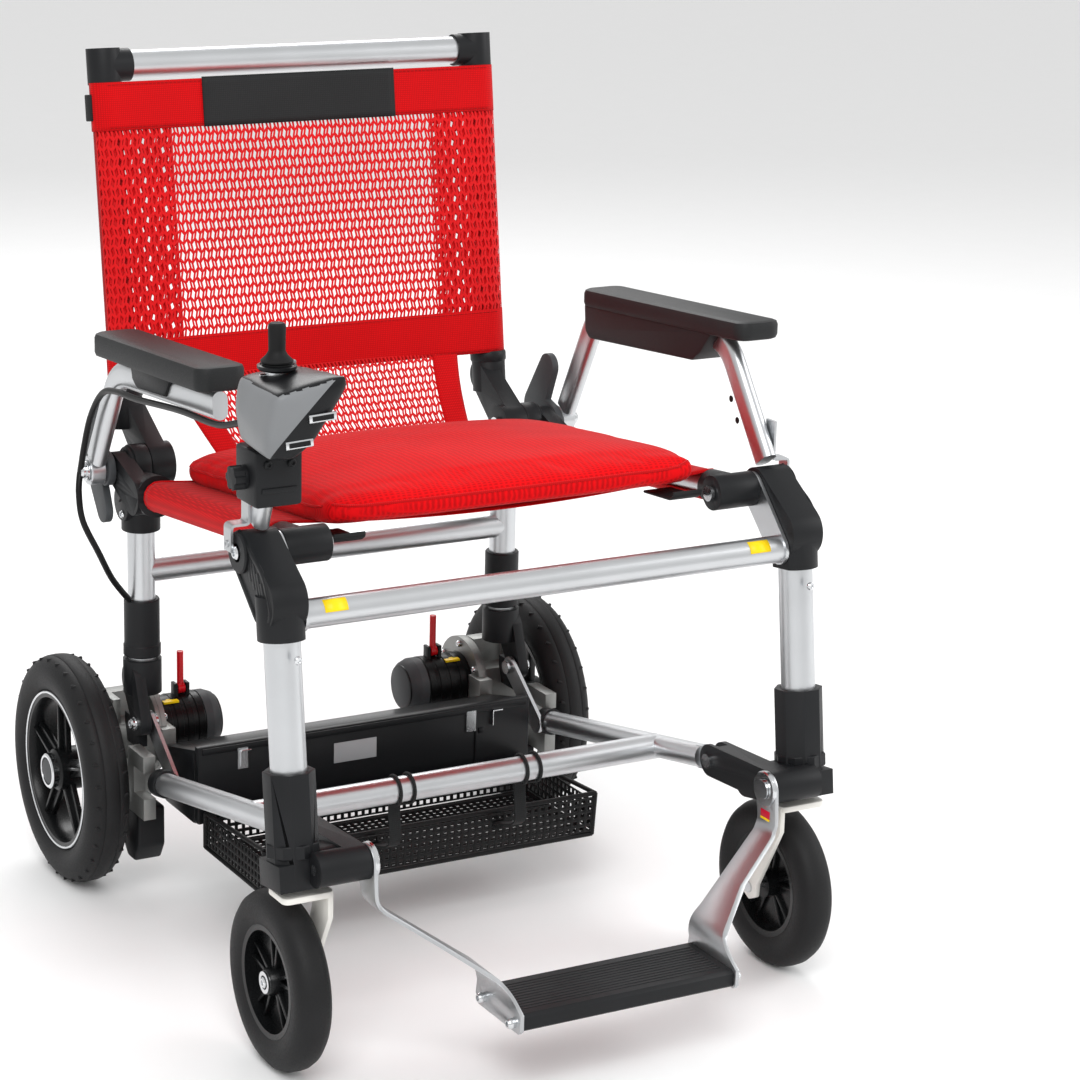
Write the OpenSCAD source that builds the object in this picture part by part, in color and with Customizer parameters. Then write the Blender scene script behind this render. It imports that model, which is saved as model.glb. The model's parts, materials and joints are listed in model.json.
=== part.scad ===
// Folding power wheelchair, built as separate named sub-parts. Units: mm.
// +Z is up, the chair faces -Y, the user's right hand is at -X.
// Origin: on the floor, midway between front and back, on the centre line.

/* [Frame] */
// distance between the two front legs
chair_w = 574; // [500:1:640]
// drive wheel axle to caster axle, front to back
wheelbase = 542; // [480:1:620]
// height of the front seat pivots
seat_h = 506; // [440:1:580]
// height of the top tube of the backrest above the front seat pivots
back_h = 387; // [320:1:460]
// recline of the backrest
back_lean = 7.8; // [4:0.1:12]

/* [Tubes] */
// front leg tube diameter
leg_d = 35; // [30:0.5:38]
// rear leg tube diameter
rear_leg_d = 30; // [26:0.5:34]
// seat side rail diameter
rail_d = 25; // [21:0.5:28]
// lower side tube diameter
side_d = 25; // [21:0.5:26]
// upper front crossbar diameter
cross_d = 28; // [22:0.5:30]
// backrest post diameter
post_d = 28; // [22:0.5:29]
// tube wall thickness
wall = 2; // [1.5:0.1:3]

/* [Wheels] */
// drive wheel diameter
wheel_d = 254; // [220:1:280]
// drive wheel tyre width
wheel_w = 49; // [40:1:49]
// caster wheel diameter
caster_d = 178; // [150:1:180]
// caster wheel width
caster_w = 37; // [30:1:38]

/* [Seat] */
// cushion height over the sling
cushion_t = 35; // [25:1:45]

/* [Footrest] */
// footplate depth, front to back
plate_depth = 81; // [65:1:100]
// footplate length, side to side
plate_len = 236; // [200:1:250]

/* [Show] */
// sub-part to show, or all

/* [Hidden] */
$fn = 48;
// side positions, measured from the centre line
lx = chair_w / 2;
xr = lx - 64;
xs = lx - 44;
xt = lx - 49;
xc = lx - 2;
xa = lx - 2;
// fore-and-aft positions
ax = (wheelbase + 185 - wheel_d / 2) / 2;
cax = ax - wheelbase;
ay = cax + 47;
by = ax - 78;
ry = by + 24;
// heights of the four fold pivots: A front seat, B rear hinge, C front lower, D rear lower
cz = 217;
A = [ay, seat_h];
B = [by, seat_h - 21];
C = [ay, cz];
D = [by, cz - 21];
// rear end of the seat rail axis, and the rail's slope
R0 = [by - 51, B[1] - 19];
rail_len = norm(R0 - A);
tilt = atan((A[1] - R0[1]) / (R0[0] - A[0]));
// rear end of the lower side tubes
T0 = [by - 64, D[1] - 48];
uT = (T0 - C) / norm(T0 - C);
// front leg axis: top and bottom points
LT = [ay - 50, seat_h - 44];
LB = [ay - 83, 200];
uL = (LT - LB) / norm(LT - LB);
leg_tilt = atan((LT[0] - LB[0]) / (LT[1] - LB[1]));
// footrest pivot
F = [ay - 112, cz + 7];
// caster swivel and axle
sw = cax - 34;
cr = caster_d / 2;
// drive axle and motor axis
axle = [ax, wheel_d / 2];
M = [ax - 8, wheel_d / 2 + 38];
gear_d = 84;
hub_d = 96;
motor_d = 64;
// clearance of cloth round a tube, and of mating mouldings
cloth_gap = 0.3;
fit_gap = 0.1;
// outer sizes of the mouldings that hold the tubes
leg_grip = leg_d + 11;
rear_grip = rear_leg_d + 12;
rail_grip = rail_d + 9;
post_grip = post_d + 10;
// inner and outer side of the front crossbar's end plates
plate_in = lx - leg_d / 2 - 4.5;
plate_out = lx - leg_d / 2 - 1;
// diameters of the cross tubes, and the inner face of the front lower links
rear_cross_d = 28;
top_tube_d = 30;
low_cross_d = 27;
link_in = lx - 59.5;
back_z = seat_h + back_h;
function post_y(z) = by + 58 + (z - B[1]) * tan(back_lean);
function p3(x, q) = [x, q[0], q[1]];

// ---- helpers -------------------------------------------------------------
module pair() {
  children();
  mirror([1, 0, 0]) children();
}
module ex(x0, x1) {
  translate([x0, 0, 0]) rotate([90, 0, 90]) linear_extrude(x1 - x0) children();
}
module xcyl(x0, x1, q, d) {
  translate([x0, q[0], q[1]]) rotate([0, 90, 0]) cylinder(h = x1 - x0, d = d);
}
module xtube(x0, x1, q, d, w) {
  difference() {
    xcyl(x0, x1, q, d);
    xcyl(x0 - 1, x1 + 1, q, d - 2 * w);
  }
}
module rod(p, q, d) {
  v = q - p;
  translate(p) rotate([0, acos(v[2] / norm(v)), atan2(v[1], v[0])]) cylinder(h = norm(v), d = d);
}
module tube(p, q, d, w) {
  e = (q - p) / norm(q - p);
  difference() {
    rod(p, q, d);
    rod(p - e, q + e, d - 2 * w);
  }
}
module disc(q, r) {
  translate(q) circle(r);
}
module bar2(a, b, ra, rb) {
  v = b - a;
  t = atan2(v[1], v[0]);
  k = acos((ra - rb) / norm(v));
  disc(a, ra);
  disc(b, rb);
  polygon([a + ra * [cos(t + k), sin(t + k)], b + rb * [cos(t + k), sin(t + k)],
    b + rb * [cos(t - k), sin(t - k)], a + ra * [cos(t - k), sin(t - k)]]);
}
module box(a, b) {
  translate(a) cube(b - a);
}
function unit(v) = v / norm(v);
function perp(v) = [-v[1], v[0]];
// point k of 6 along the corner at b of the path a-b-c, rounded to radius r
function turn_pt(a, b, c, r, k) = let(u = unit(a - b), v = unit(c - b), h = acos(u * v) / 2,
  m = b + unit(u + v) * r / sin(h), p0 = b + u * r / tan(h) - m, p1 = b + v * r / tan(h) - m,
  a0 = atan2(p0[1], p0[0]), d = atan2(p1[1], p1[0]) - a0, da = d > 180 ? d - 360 : (d < -180 ? d + 360 : d))
  m + r * [cos(a0 + da * k / 6), sin(a0 + da * k / 6)];
function bend_pts(p, r) = [for (i = [1 : len(p) - 2], k = [0 : 6]) turn_pt(p[i - 1], p[i], p[i + 1], r, k)];
// outline of a strip of width w along a path, with its corners rounded to radius r
function strip(p, r, w) = let(m = concat([p[0]], len(p) > 2 ? bend_pts(p, r) : [], [p[len(p) - 1]]),
  e = len(m) - 1, n = [for (i = [0 : e]) perp(unit(m[min(i + 1, e)] - m[max(i - 1, 0)]))])
  concat([for (i = [0 : e]) m[i] + w / 2 * n[i]], [for (i = [e : -1 : 0]) m[i] - w / 2 * n[i]]);
module seat_axes() {
  translate([0, A[0], A[1]]) rotate([-tilt, 0, 0]) children();
}
module leg_axes() {
  translate([0, LB[0], LB[1]]) rotate([-leg_tilt, 0, 0]) children();
}
// round cable swept along smoothed points
function cr_pt(p, i, t) = let(a = p[max(i - 1, 0)], b = p[i], c = p[i + 1], d = p[min(i + 2, len(p) - 1)])
  0.5 * (2 * b + (c - a) * t + (2 * a - 5 * b + 4 * c - d) * t * t + (3 * b - a - 3 * c + d) * t * t * t);
function smooth(p, n) = [for (i = [0 : len(p) - 2], j = [0 : n - 1]) cr_pt(p, i, j / n), p[len(p) - 1]];
function dirs(q) = [for (i = [0 : len(q) - 1]) unit(q[min(i + 1, len(q) - 1)] - q[max(i - 1, 0)])];
function ring(c, t, r, n) = let(u = unit(cross(t, [1, 0.2, 0.1])), v = cross(t, u))
  [for (k = [0 : n - 1]) c + r * (cos(360 * k / n) * u + sin(360 * k / n) * v)];
module cable(pts, r, n, steps) {
  q = smooth(pts, steps);
  d = dirs(q);
  m = len(q);
  vs = [for (i = [0 : m - 1]) each ring(q[i], d[i], r, n)];
  sides = [for (i = [0 : m - 2], k = [0 : n - 1])
    [i * n + k, i * n + (k + 1) % n, (i + 1) * n + (k + 1) % n, (i + 1) * n + k]];
  polyhedron(points = vs, convexity = 6, faces = concat([[for (k = [n - 1 : -1 : 0]) k]], sides,
    [[for (k = [0 : n - 1]) (m - 1) * n + k]]));
}

// ---- rear frame (fixed body) --------------------------------------------
module rear_legs() color([0.78, 0.79, 0.8]) {
  difference() {
    union() {
      pair() rod([xr, ry, 238], [xr, ry, B[1] - 30], rear_leg_d);
      xcyl(-xr, xr, [ry, seat_h - 145], rear_cross_d);
    }
    pair() rod([xr, ry, 230], [xr, ry, B[1] - 20], rear_leg_d - 2 * wall);
    xcyl(-xr, xr, [ry, seat_h - 145], rear_cross_d - 2 * wall);
  }
}
module hinge_brackets() color([0.1, 0.1, 0.1]) pair() difference() {
  union() {
    ex(xr + 5, xr + 23) bar2(B, [ry, B[1] - 46], 23, 20);
    rod([xr, ry, B[1] - 78], [xr, ry, B[1] - 27], rear_grip);
  }
  rod([xr, ry, B[1] - 90], [xr, ry, B[1] - 30], rear_leg_d);
  xcyl(xr, xr + 40, B, 12);
}
module hinge_covers() color([0.35, 0.35, 0.36]) pair() difference() {
  ex(xr + 44, xr + 52) {
    bar2([by + 10, B[1] + 60], [by + 38, B[1] + 8], 15, 21);
    bar2([by + 38, B[1] + 8], [by + 6, B[1] - 46], 21, 14);
    bar2([by + 38, B[1] + 8], B, 21, 18);
  }
  xcyl(xr + 40, xr + 60, B, 12);
}
module leg_sleeves() color([0.08, 0.08, 0.08]) pair() difference() {
  rod([xr, ry, 266], [xr, ry, 330], rear_grip - 1);
  rod([xr, ry, 260], [xr, ry, 340], rear_leg_d);
}
module lower_brackets() color([0.09, 0.09, 0.09]) pair() difference() {
  union() {
    rod([xr, ry, 224], [xr, ry, 262], rear_grip);
    ex(xr + 5, xr + 17) {
      bar2([by + 22, 238], D, 20, 14);
      translate([by, 168]) square([34, 32]);
    }
  }
  rod([xr, ry, 238], [xr, ry, 270], rear_leg_d);
  xcyl(xr - 5, xr + 30, D, 8);
  xcyl(xr, xr + 30, M, gear_d + 2 * fit_gap);
}
module gearboxes() color([0.55, 0.55, 0.55]) pair() {
  difference() {
    union() {
      xcyl(xr - 17, xr + 27, M, gear_d);
      xcyl(xr - 17, xr + 29, axle, hub_d);
      box([xr - 15, by + 34, 104], [xr + 31, ax, 214]);
    }
    box([xr - 30, by, 185], [xr + 22, by + 60, 230]);
  }
  xcyl(xr - 27, xr - 17, M, 100);
  box([xr - 33, by + 10, M[1] - 25], [xr - 17, ax - 40, M[1] + 15]);
  xcyl(xr + 29, xr + 38, axle, 34);
  xcyl(xr + 38, lx + 17, axle, 12);
  box([xr + 18, by - 54, 104], [xr + 32, by + 44, 128]);
  box([xr + 18, by - 26, 104], [xr + 32, by - 10, 176]);
  box([xr + 18, by - 54, 158], [xr + 32, by - 22, 176]);
}
module motors() color([0.1, 0.1, 0.1]) pair() {
  xcyl(xr - 83, xr - 27, M, motor_d);
  xcyl(xr - 105, xr - 83, M, motor_d - 12);
  box([xr - 73, M[0] - 6, M[1] + 25], [xr - 69, M[0] + 6, M[1] + 46]);
  box([xr - 59, M[0] - 6, M[1] + 25], [xr - 55, M[0] + 6, M[1] + 46]);
  xcyl(xr - 73, xr - 55, [M[0], M[1] + 39], 5);
}
module release_lever_l() color([0.8, 0.05, 0.05]) difference() {
  union() {
    xcyl(xr - 68, xr - 60, [M[0], M[1] + 39], 12);
    rod([xr - 64, M[0], M[1] + 39], [xr - 64, M[0], M[1] + 82], 7.5);
  }
  xcyl(xr - 75, xr - 53, [M[0], M[1] + 39], 5.12);
}
module release_lever_r() mirror([1, 0, 0]) release_lever_l();
module battery_case() color([0.07, 0.07, 0.07]) {
  bx = xr - 18;
  difference() {
    box([-bx, by - 82, 98], [bx, by + 10, 188]);
    box([-bx + 3, by - 79, 101], [bx - 3, by + 7, 200]);
  }
  box([-bx, by - 82, 188], [bx, by + 10, 197]);
}
module battery_clips() color([0.85, 0.85, 0.85]) {
  box([-158, by - 84, 158], [-146, by - 82, 182]);
  box([122, by - 84, 158], [134, by - 82, 182]);
}
module antitip_feet() color([0.07, 0.07, 0.07]) pair() ex(xr - 7, xr + 25)
  polygon([[by - 20, 104], [by + 36, 104], [by + 36, 66], [by + 12, 40], [by - 8, 40], [by - 20, 60]]);
module pivot_bolts() color([0.7, 0.7, 0.7]) pair() {
  xcyl(xr - 25, xr + 72, B, 12);
  xcyl(xr + 70.5, xr + 73, B, 22);
  xcyl(xr - 27, xr - 24, B, 20);
  xcyl(xr - 4, xr + 17, D, 8);
  xcyl(xr - 6, xr - 3, D, 15);
  xcyl(xr + 17, xr + 20, D, 14);
}
module cable_lower() color([0.05, 0.05, 0.05])
  cable([[-xr - 86, by, B[1] + 3], [-xr - 86, by - 6, B[1] - 22], [-xr - 80, by - 9, B[1] - 52],
    [-xr - 60, by - 4, B[1] - 90], [-xr - 40, by + 8, B[1] - 125], [-xr - 17.5, by + 18, B[1] - 154]],
    3.4, 10, 6);

// ---- drive wheels ---------------------------------------------------------
// tyre seat of the drive rim, from the inner radius r0
function rim_seat(r0) = [[r0, -18], [87.8, -19], [87.6, -12], [84, -4], [84, 4], [87.6, 12], [87.8, 19],
  [r0, 18]];
module wheel_tyre(r, w, rim_r) rotate([0, 90, 0]) rotate_extrude() {
  rc = (r + rim_r) / 2;
  polygon([for (k = [0 : 31]) let(c = cos(k * 11.25), t = sin(k * 11.25))
    [rc + (r - rim_r) / 2 * sign(c) * pow(abs(c), 0.8), w / 2 * sign(t) * pow(abs(t), 0.8)]]);
}
module drive_rim() rotate([0, 90, 0]) difference() {
  union() {
    rotate_extrude() polygon(rim_seat(79));
    for (k = [0 : 4]) rotate([0, 0, 90 + 72 * k]) translate([12, -8, 2]) cube([70, 16, 12]);
    translate([0, 0, -22]) cylinder(h = 44, d = 46);
    translate([0, 0, 22]) cylinder(h = 8, d = 38);
  }
  translate([0, 0, -23]) cylinder(h = 41.5, d = 12.1);
}
module tyre_l() color([0.06, 0.06, 0.06]) translate([lx, ax, wheel_d / 2]) difference() {
  wheel_tyre(wheel_d / 2, wheel_w, 84);
  rotate([0, 90, 0]) rotate_extrude() polygon(rim_seat(70));
}
module tyre_r() mirror([1, 0, 0]) tyre_l();
module rim_l() color([0.1, 0.1, 0.1]) translate([lx, ax, wheel_d / 2]) drive_rim();
module rim_r() mirror([1, 0, 0]) rim_l();

// ---- seat (folding body) ---------------------------------------------------
module seat_rails() color([0.78, 0.79, 0.8]) seat_axes() pair()
  tube([xs, 20, 0], [xs, rail_len + 14, 0], rail_d, wall);
module seat_sling() color([0.8, 0.02, 0.05]) seat_axes() {
  pair() difference() {
    rod([xs, 42, 0], [xs, rail_len - 20, 0], rail_grip);
    rod([xs, 30, 0], [xs, rail_len, 0], rail_d + 2 * cloth_gap);
  }
  box([-xs + rail_d / 2 + 1.9, 42, 2], [xs - rail_d / 2 - 1.9, rail_len - 20, 5]);
}
module rail_clamps() color([0.09, 0.09, 0.09]) pair() difference() {
  union() {
    seat_axes() rod([xs, rail_len - 19, 0], [xs, rail_len + 16, 0], rail_grip + 10);
    ex(xs + 4.5, xs + 22) bar2(R0, B, 20, 17);
  }
  seat_axes() rod([xs, rail_len - 30, 0], [xs, rail_len + 14, 0], rail_d);
  xcyl(xs, xs + 40, B, 12.1);
}
module rail_yokes() color([0.08, 0.08, 0.08]) pair() difference() {
  union() {
    xcyl(xs - 26, xs + 21.5, A, 36);
    seat_axes() rod([xs, 8, 0], [xs, 41, 0], rail_grip);
  }
  seat_axes() rod([xs, 20, 0], [xs, 50, 0], rail_d);
  xcyl(xs - 40, xs + 40, A, 10.1);
}
module seat_cushion() color([0.85, 0.02, 0.05]) seat_axes() {
  w = xs - 23;
  translate([0, 0, 5.4]) linear_extrude(cushion_t) polygon([[-w + 8, rail_len + 2], [w - 8, rail_len + 2],
    [w, rail_len - 8], [w, 34], [w - 8, 22], [w - 16, 0], [-w + 16, 0], [-w + 8, 22], [-w, 34],
    [-w, rail_len - 8]]);
}

// ---- armrests ---------------------------------------------------------------
arm_top = B[1] + 165;
arm_t = 16;
arm_w = 28;
post_w = 24;
arm_bend = 40;
arm_l_path = [B + [-8, 15], [by - 72, arm_top - 26], [ay + 87, arm_top - 5], [ay + 5, A[1] + 25]];
arm_r_path = [B + [-8, 15], [by - 72, arm_top - 44], [ay + 90, arm_top - 25]];
post_path = [[ay + 2, A[1] + 25], [ay - 25, A[1] + 95]];
module arm_bar(path, w) ex(xa - arm_t / 2, xa + arm_t / 2) polygon(strip(path, arm_bend, w));
module arm_boss() ex(xa - arm_t / 2 + 1, xa + arm_t / 2 - 1) bar2(B, B + [-14, 26], 14, 14);
module arm_tube_l() color([0.78, 0.79, 0.8]) difference() {
  union() {
    arm_boss();
    arm_bar(arm_l_path, arm_w);
  }
  xcyl(xa - 20, xa + 20, B, 12.1);
  xcyl(xa - 9, xa - 2, [ay + 62, A[1] + 79], 6);
  xcyl(xa - 9, xa - 2, [ay + 49, A[1] + 59], 6);
}
module pad_shape(x0, x1, y0, y1, z0, z1, t) {
  ex(x0, x1) polygon([[y1, z1 - t], [y1, z1 - 3], [y1 - 6, z1], [y0 + 10, z0], [y0, z0 - 6], [y0, z0 - t]]);
}
module arm_pad_l() color([0.06, 0.06, 0.06]) difference() {
  union() {
    pad_shape(xa - 23, xa + 29, ay + 27, by - 67, arm_top + 22, arm_top, 20);
    ex(xa - 20, xa + 20) polygon([[by - 72, arm_top - 18], [by - 74, arm_top - 46], [by - 84, arm_top - 54],
      [ay + 122, arm_top - 36], [ay + 106, arm_top - 26], [ay + 82, arm_top + 3], [ay + 90, arm_top + 6]]);
  }
  arm_bar(arm_l_path, arm_w);
}
module latch_shape(q) {
  box([xa + 8, q[0] - 8, q[1] + 4], [xa + 11, q[0] + 8, q[1] + 46]);
  box([xa + 8, q[0] - 8, q[1] + 4], [xa + 29, q[0] + 8, q[1] + 7]);
  box([xa + 26, q[0] - 8, q[1] - 20], [xa + 29, q[0] + 8, q[1] + 7]);
}
module arm_latch_l() color([0.82, 0.82, 0.83]) latch_shape([ay + 12, A[1] + 20]);
module arm_tube_r() color([0.78, 0.79, 0.8]) mirror([1, 0, 0]) {
  difference() {
    union() {
      arm_boss();
      arm_bar(arm_r_path, arm_w);
    }
    xcyl(xa - 20, xa + 20, B, 12.1);
  }
  arm_bar(post_path, post_w);
}
module arm_pad_r() color([0.1, 0.1, 0.1]) mirror([1, 0, 0]) difference() {
  union() {
    pad_shape(xa - 23, xa + 29, ay + 79, by - 67, arm_top + 17, arm_top - 1, 25);
    ex(xa - 12, xa + 12) polygon([[by - 150, arm_top - 18], [by - 150, arm_top - 46],
      [by - 230, arm_top - 40], [by - 230, arm_top - 12]]);
  }
  arm_bar(arm_r_path, arm_w);
}
module arm_latch_r() color([0.82, 0.82, 0.83]) mirror([1, 0, 0]) latch_shape([ay + 10, A[1] + 20]);
pod_z = arm_top - 36;
stick_at = [-lx - 3, ay - 48, pod_z + 71];
module pod() color([0.12, 0.12, 0.12]) difference() {
  hull() for (p = [[-328, -106, 24], [-322, -112, 68], [-249, -118, 84], [-245, -114, 70], [-280, -112, 18],
    [-300, -106, 0], [-325, -100, 0], [-327, -26, 40], [-320, -16, 70], [-254, -16, 76], [-254, -16, 44],
    [-272, -8, 0], [-314, -8, 0]])
    translate([p[0] + 287 - lx, ay + p[1], pod_z + p[2]]) cube(0.5, center = true);
  translate(stick_at - [0, 0, 9]) cylinder(h = 40, d = 30);
  xcyl(stick_at[0] - 18, stick_at[0] + 18, [stick_at[1], stick_at[2]], 3.12);
  translate([-lx + 17, ay - 36, pod_z + 66]) cylinder(h = 40, d = 9.16);
  arm_pad_r();
}
module clamp_block() color([0.07, 0.07, 0.07]) difference() {
  box([-lx - 25, ay - 50, A[1] + 54], [-lx + 23, ay - 3, pod_z - 0.25]);
  mirror([1, 0, 0]) arm_bar(post_path, post_w);
}
module clamp_knob() color([0.07, 0.07, 0.07]) translate([-lx - 25.2, ay - 26, A[1] + 80])
  rotate([0, -90, 0]) difference() {
    cylinder(h = 14, d = 23);
    for (k = [0 : 5]) rotate([0, 0, 60 * k]) translate([13.5, 0, 3]) cylinder(h = 20, d = 8);
  }
module gimbal() color([0.1, 0.1, 0.1]) {
  difference() {
    translate(stick_at - [0, 0, 3]) cylinder(h = 6, d = 22);
    translate(stick_at - [0, 0, 4]) cylinder(h = 8, d = 13);
    translate(stick_at) rotate([90, 0, 0]) cylinder(h = 40, d = 3.12, center = true);
  }
  for (s = [-1, 1]) translate(stick_at + [s * 13.5, 0, 0]) rotate([0, 90, 0])
    cylinder(h = 7, d = 3, center = true);
}
module joystick() color([0.09, 0.09, 0.09]) translate(stick_at) {
  translate([0, 0, -3]) cylinder(h = 10, d = 9);
  rotate([90, 0, 0]) cylinder(h = 20, d = 3, center = true);
  translate([0, 0, 7]) cylinder(h = 8, d1 = 24, d2 = 12);
  translate([0, 0, 15]) cylinder(h = 14, d = 10);
  translate([0, 0, 29]) cylinder(h = 16, d1 = 15, d2 = 19);
  translate([0, 0, 45]) cylinder(h = 3, d1 = 19, d2 = 13);
}
module power_button() color([0.3, 0.3, 0.3]) translate([-lx + 17, ay - 36, pod_z + 68.2])
  cylinder(h = 12, d = 9);
module cable_upper() color([0.05, 0.05, 0.05])
  cable([[-xr - 78, by, B[1] - 3], [-xr - 78, by - 14, B[1] + 32], [-xr - 78, by - 34, B[1] + 68],
    [-xr - 78, by - 66, B[1] + 98], [-xr - 78, by - 104, B[1] + 108], [-xr - 78, by - 160, B[1] + 112],
    [-xr - 78, ay + 150, B[1] + 124], [-xr - 78, ay + 60, B[1] + 130], [-xr - 76, ay + 8, pod_z + 14],
    [-xr - 74, ay - 9.3, pod_z + 14]], 3.4, 10, 4);

// ---- backrest ----------------------------------------------------------------
module back_frame() color([0.78, 0.79, 0.8]) {
  pair() tube([xr, post_y(B[1] + 42), B[1] + 42], [xr, post_y(back_z + 4), back_z + 4], post_d, wall);
  xtube(-xr + post_d / 2 + 1, xr - post_d / 2 - 1, [post_y(back_z), back_z], top_tube_d, wall);
}
module back_elbows() color([0.06, 0.06, 0.06]) pair() difference() {
  union() {
    rod([xr, post_y(back_z - 20), back_z - 20], [xr, post_y(back_z + 18), back_z + 18], post_grip - 2);
    xcyl(xr - 28, xr, [post_y(back_z), back_z], top_tube_d + 5);
  }
  rod([xr, post_y(back_z - 30), back_z - 30], [xr, post_y(back_z + 4), back_z + 4], post_d);
  xcyl(xr - 40, xr - post_d / 2 - 1, [post_y(back_z), back_z], top_tube_d);
}
module back_sockets() color([0.09, 0.09, 0.09]) pair() difference() {
  union() {
    xcyl(xr - 22, xr + 4.5, B, 46);
    ex(xr - 16, xr + 4.5) bar2(B, [post_y(B[1] + 44), B[1] + 44], 22, 16);
    rod([xr, post_y(B[1] + 26), B[1] + 26], [xr, post_y(B[1] + 71), B[1] + 71], post_grip);
  }
  rod([xr, post_y(B[1] + 42), B[1] + 42], [xr, post_y(B[1] + 80), B[1] + 80], post_d);
  xcyl(xr - 40, xr + 40, B, 12.1);
}
module back_axes() {
  translate([0, post_y(B[1]), B[1]]) rotate([-back_lean, 0, 0]) children();
}
back_len = (back_z - B[1]) / cos(back_lean);
// where the panel's rear face ends, inside the wall of the round post sleeves
panel_in = sqrt(pow(post_d / 2 + cloth_gap, 2) - pow(post_d / 2 - 4, 2)) + 0.5;
module back_fabric() color([0.82, 0.02, 0.05]) {
  back_axes() {
    pair() difference() {
      rod([xr, 0, 73], [xr, 0, back_len - 22], post_d + 5);
      rod([xr, 0, 60], [xr, 0, back_len - 10], post_d + 2 * cloth_gap);
    }
    box([-xr + panel_in, 1 - post_d / 2, 73], [xr - panel_in, 4 - post_d / 2, back_len - 22]);
  }
  q0 = [post_y(B[1] + 74) - 10, B[1] + 74];
  q1 = [by - 17, B[1] + 8];
  n = 3 * perp(unit(q1 - q0));
  ex(-xr + 50, xr - 50) polygon([q0, q1, q1 - n, q0 - n + [0, 4]]);
}
module back_patch() color([0.04, 0.04, 0.05]) back_axes()
  box([-118, -0.4 - post_d / 2, back_len - 70], [112, 1 - post_d / 2, back_len - 24]);

// ---- front frame ----------------------------------------------------------------
function leg_pt(x, z) = [x, LB[0] + (z - LB[1]) * tan(leg_tilt), z];
module front_legs() color([0.78, 0.79, 0.8]) pair()
  tube(leg_pt(lx, 228), leg_pt(lx, seat_h - 26), leg_d, wall);
module front_crossbar() color([0.8, 0.8, 0.81]) {
  q = A + [-52, -51];
  pair() difference() {
    ex(plate_in, plate_out) bar2(A, q, 17, 16);
    xcyl(lx - 40, lx, A, 10);
  }
  xtube(-plate_in, plate_in, q, cross_d, wall);
}
module front_brackets() color([0.07, 0.07, 0.07]) pair() difference() {
  union() {
    ex(plate_out + 0.6, lx + leg_d / 2 + 0.5) bar2(A, A + [-49, -36], 21, 25);
    intersection() {
      rod(leg_pt(lx, seat_h - 72), leg_pt(lx, seat_h - 30), leg_grip);
      box([plate_out + 0.6, ay - 100, 300], [lx + 40, ay, seat_h + 200]);
    }
  }
  rod(leg_pt(lx, seat_h - 90), leg_pt(lx, seat_h - 26), leg_d);
  xcyl(lx - 40, lx + 40, A, 10);
}
sleeve_r = leg_d / 2 + 8;
module sleeve_solid() leg_axes() translate([lx, 0, 0]) {
  linear_extrude(111) polygon([for (k = [0 : 7]) sleeve_r * [cos(22.5 + 45 * k) * 0.98, sin(22.5 + 45 * k)]]);
  linear_extrude(26) square([50, 46], center = true);
}
module front_sleeves() color([0.07, 0.07, 0.07]) pair() difference() {
  sleeve_solid();
  rod(leg_pt(lx, 228), leg_pt(lx, 340), leg_d);
  translate([xc, sw, 180]) cylinder(h = 44, d = 12.1);
}
module front_links() color([0.08, 0.08, 0.08]) pair() difference() {
  union() {
    ex(link_in, xt + 12) bar2(C, F, 17, 17);
    ex(link_in, lx - 15) bar2([ay - 66, cz - 1], [ay - 92, cz + 4], 16, 16);
    xcyl(link_in, lx - 6, F, 34);
  }
  sleeve_solid();
  xcyl(xt - 6, xt + 6, C, 40);
  xcyl(xt - 30, xt + 30, C, 8);
  xcyl(lx - 80, lx + 10, F, 10);
}
module front_pins() color([0.7, 0.7, 0.72]) pair() {
  xcyl(lx - 73, lx + 20, A, 10);
  xcyl(lx - 75, lx - 71, A, 16);
  xcyl(link_in - 2, xt + 14, C, 8);
  xcyl(link_in - 4, link_in, C, 15);
  xcyl(lx - 66, lx - 6, F, 10);
  xcyl(lx - 69, lx - 65.5, F, 20);
}

// ---- casters ---------------------------------------------------------------------
module fork_l() color([0.85, 0.85, 0.84]) {
  box([xc - 32, sw - 20, 188], [xc + 21, sw + 20, 194.5]);
  ex(xc - 32, xc - 26) {
    bar2([sw + 2, 176], [cax, cr], 16, 14);
    translate([sw - 18, 172]) square([36, 20]);
  }
  translate([xc, sw, 190]) cylinder(h = 31, d = 12);
  xcyl(xc - 32, xc + 14, [cax, cr], 8);
}
module fork_r() mirror([1, 0, 0]) fork_l();
module caster_tyre_l() color([0.06, 0.06, 0.06]) translate([xc, cax, cr]) difference() {
  wheel_tyre(cr, caster_w, 53);
  rotate([0, 90, 0]) rotate_extrude() polygon([[40, -15], [57, -15], [54, 0], [57, 15], [40, 15]]);
}
module caster_tyre_r() mirror([1, 0, 0]) caster_tyre_l();
module caster_rim_l() color([0.08, 0.08, 0.08]) translate([xc, cax, cr]) rotate([0, 90, 0]) difference() {
  union() {
    rotate_extrude() polygon([[49, -14], [57, -15], [54, 0], [57, 15], [49, 14]]);
    for (k = [0 : 4]) rotate([0, 0, 90 + 72 * k]) translate([8, -5, -8]) cube([44, 10, 16]);
    translate([0, 0, -16]) cylinder(h = 33, d = 24);
  }
  translate([0, 0, -17]) cylinder(h = 31.5, d = 8.1);
}
module caster_rim_r() mirror([1, 0, 0]) caster_rim_l();

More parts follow.
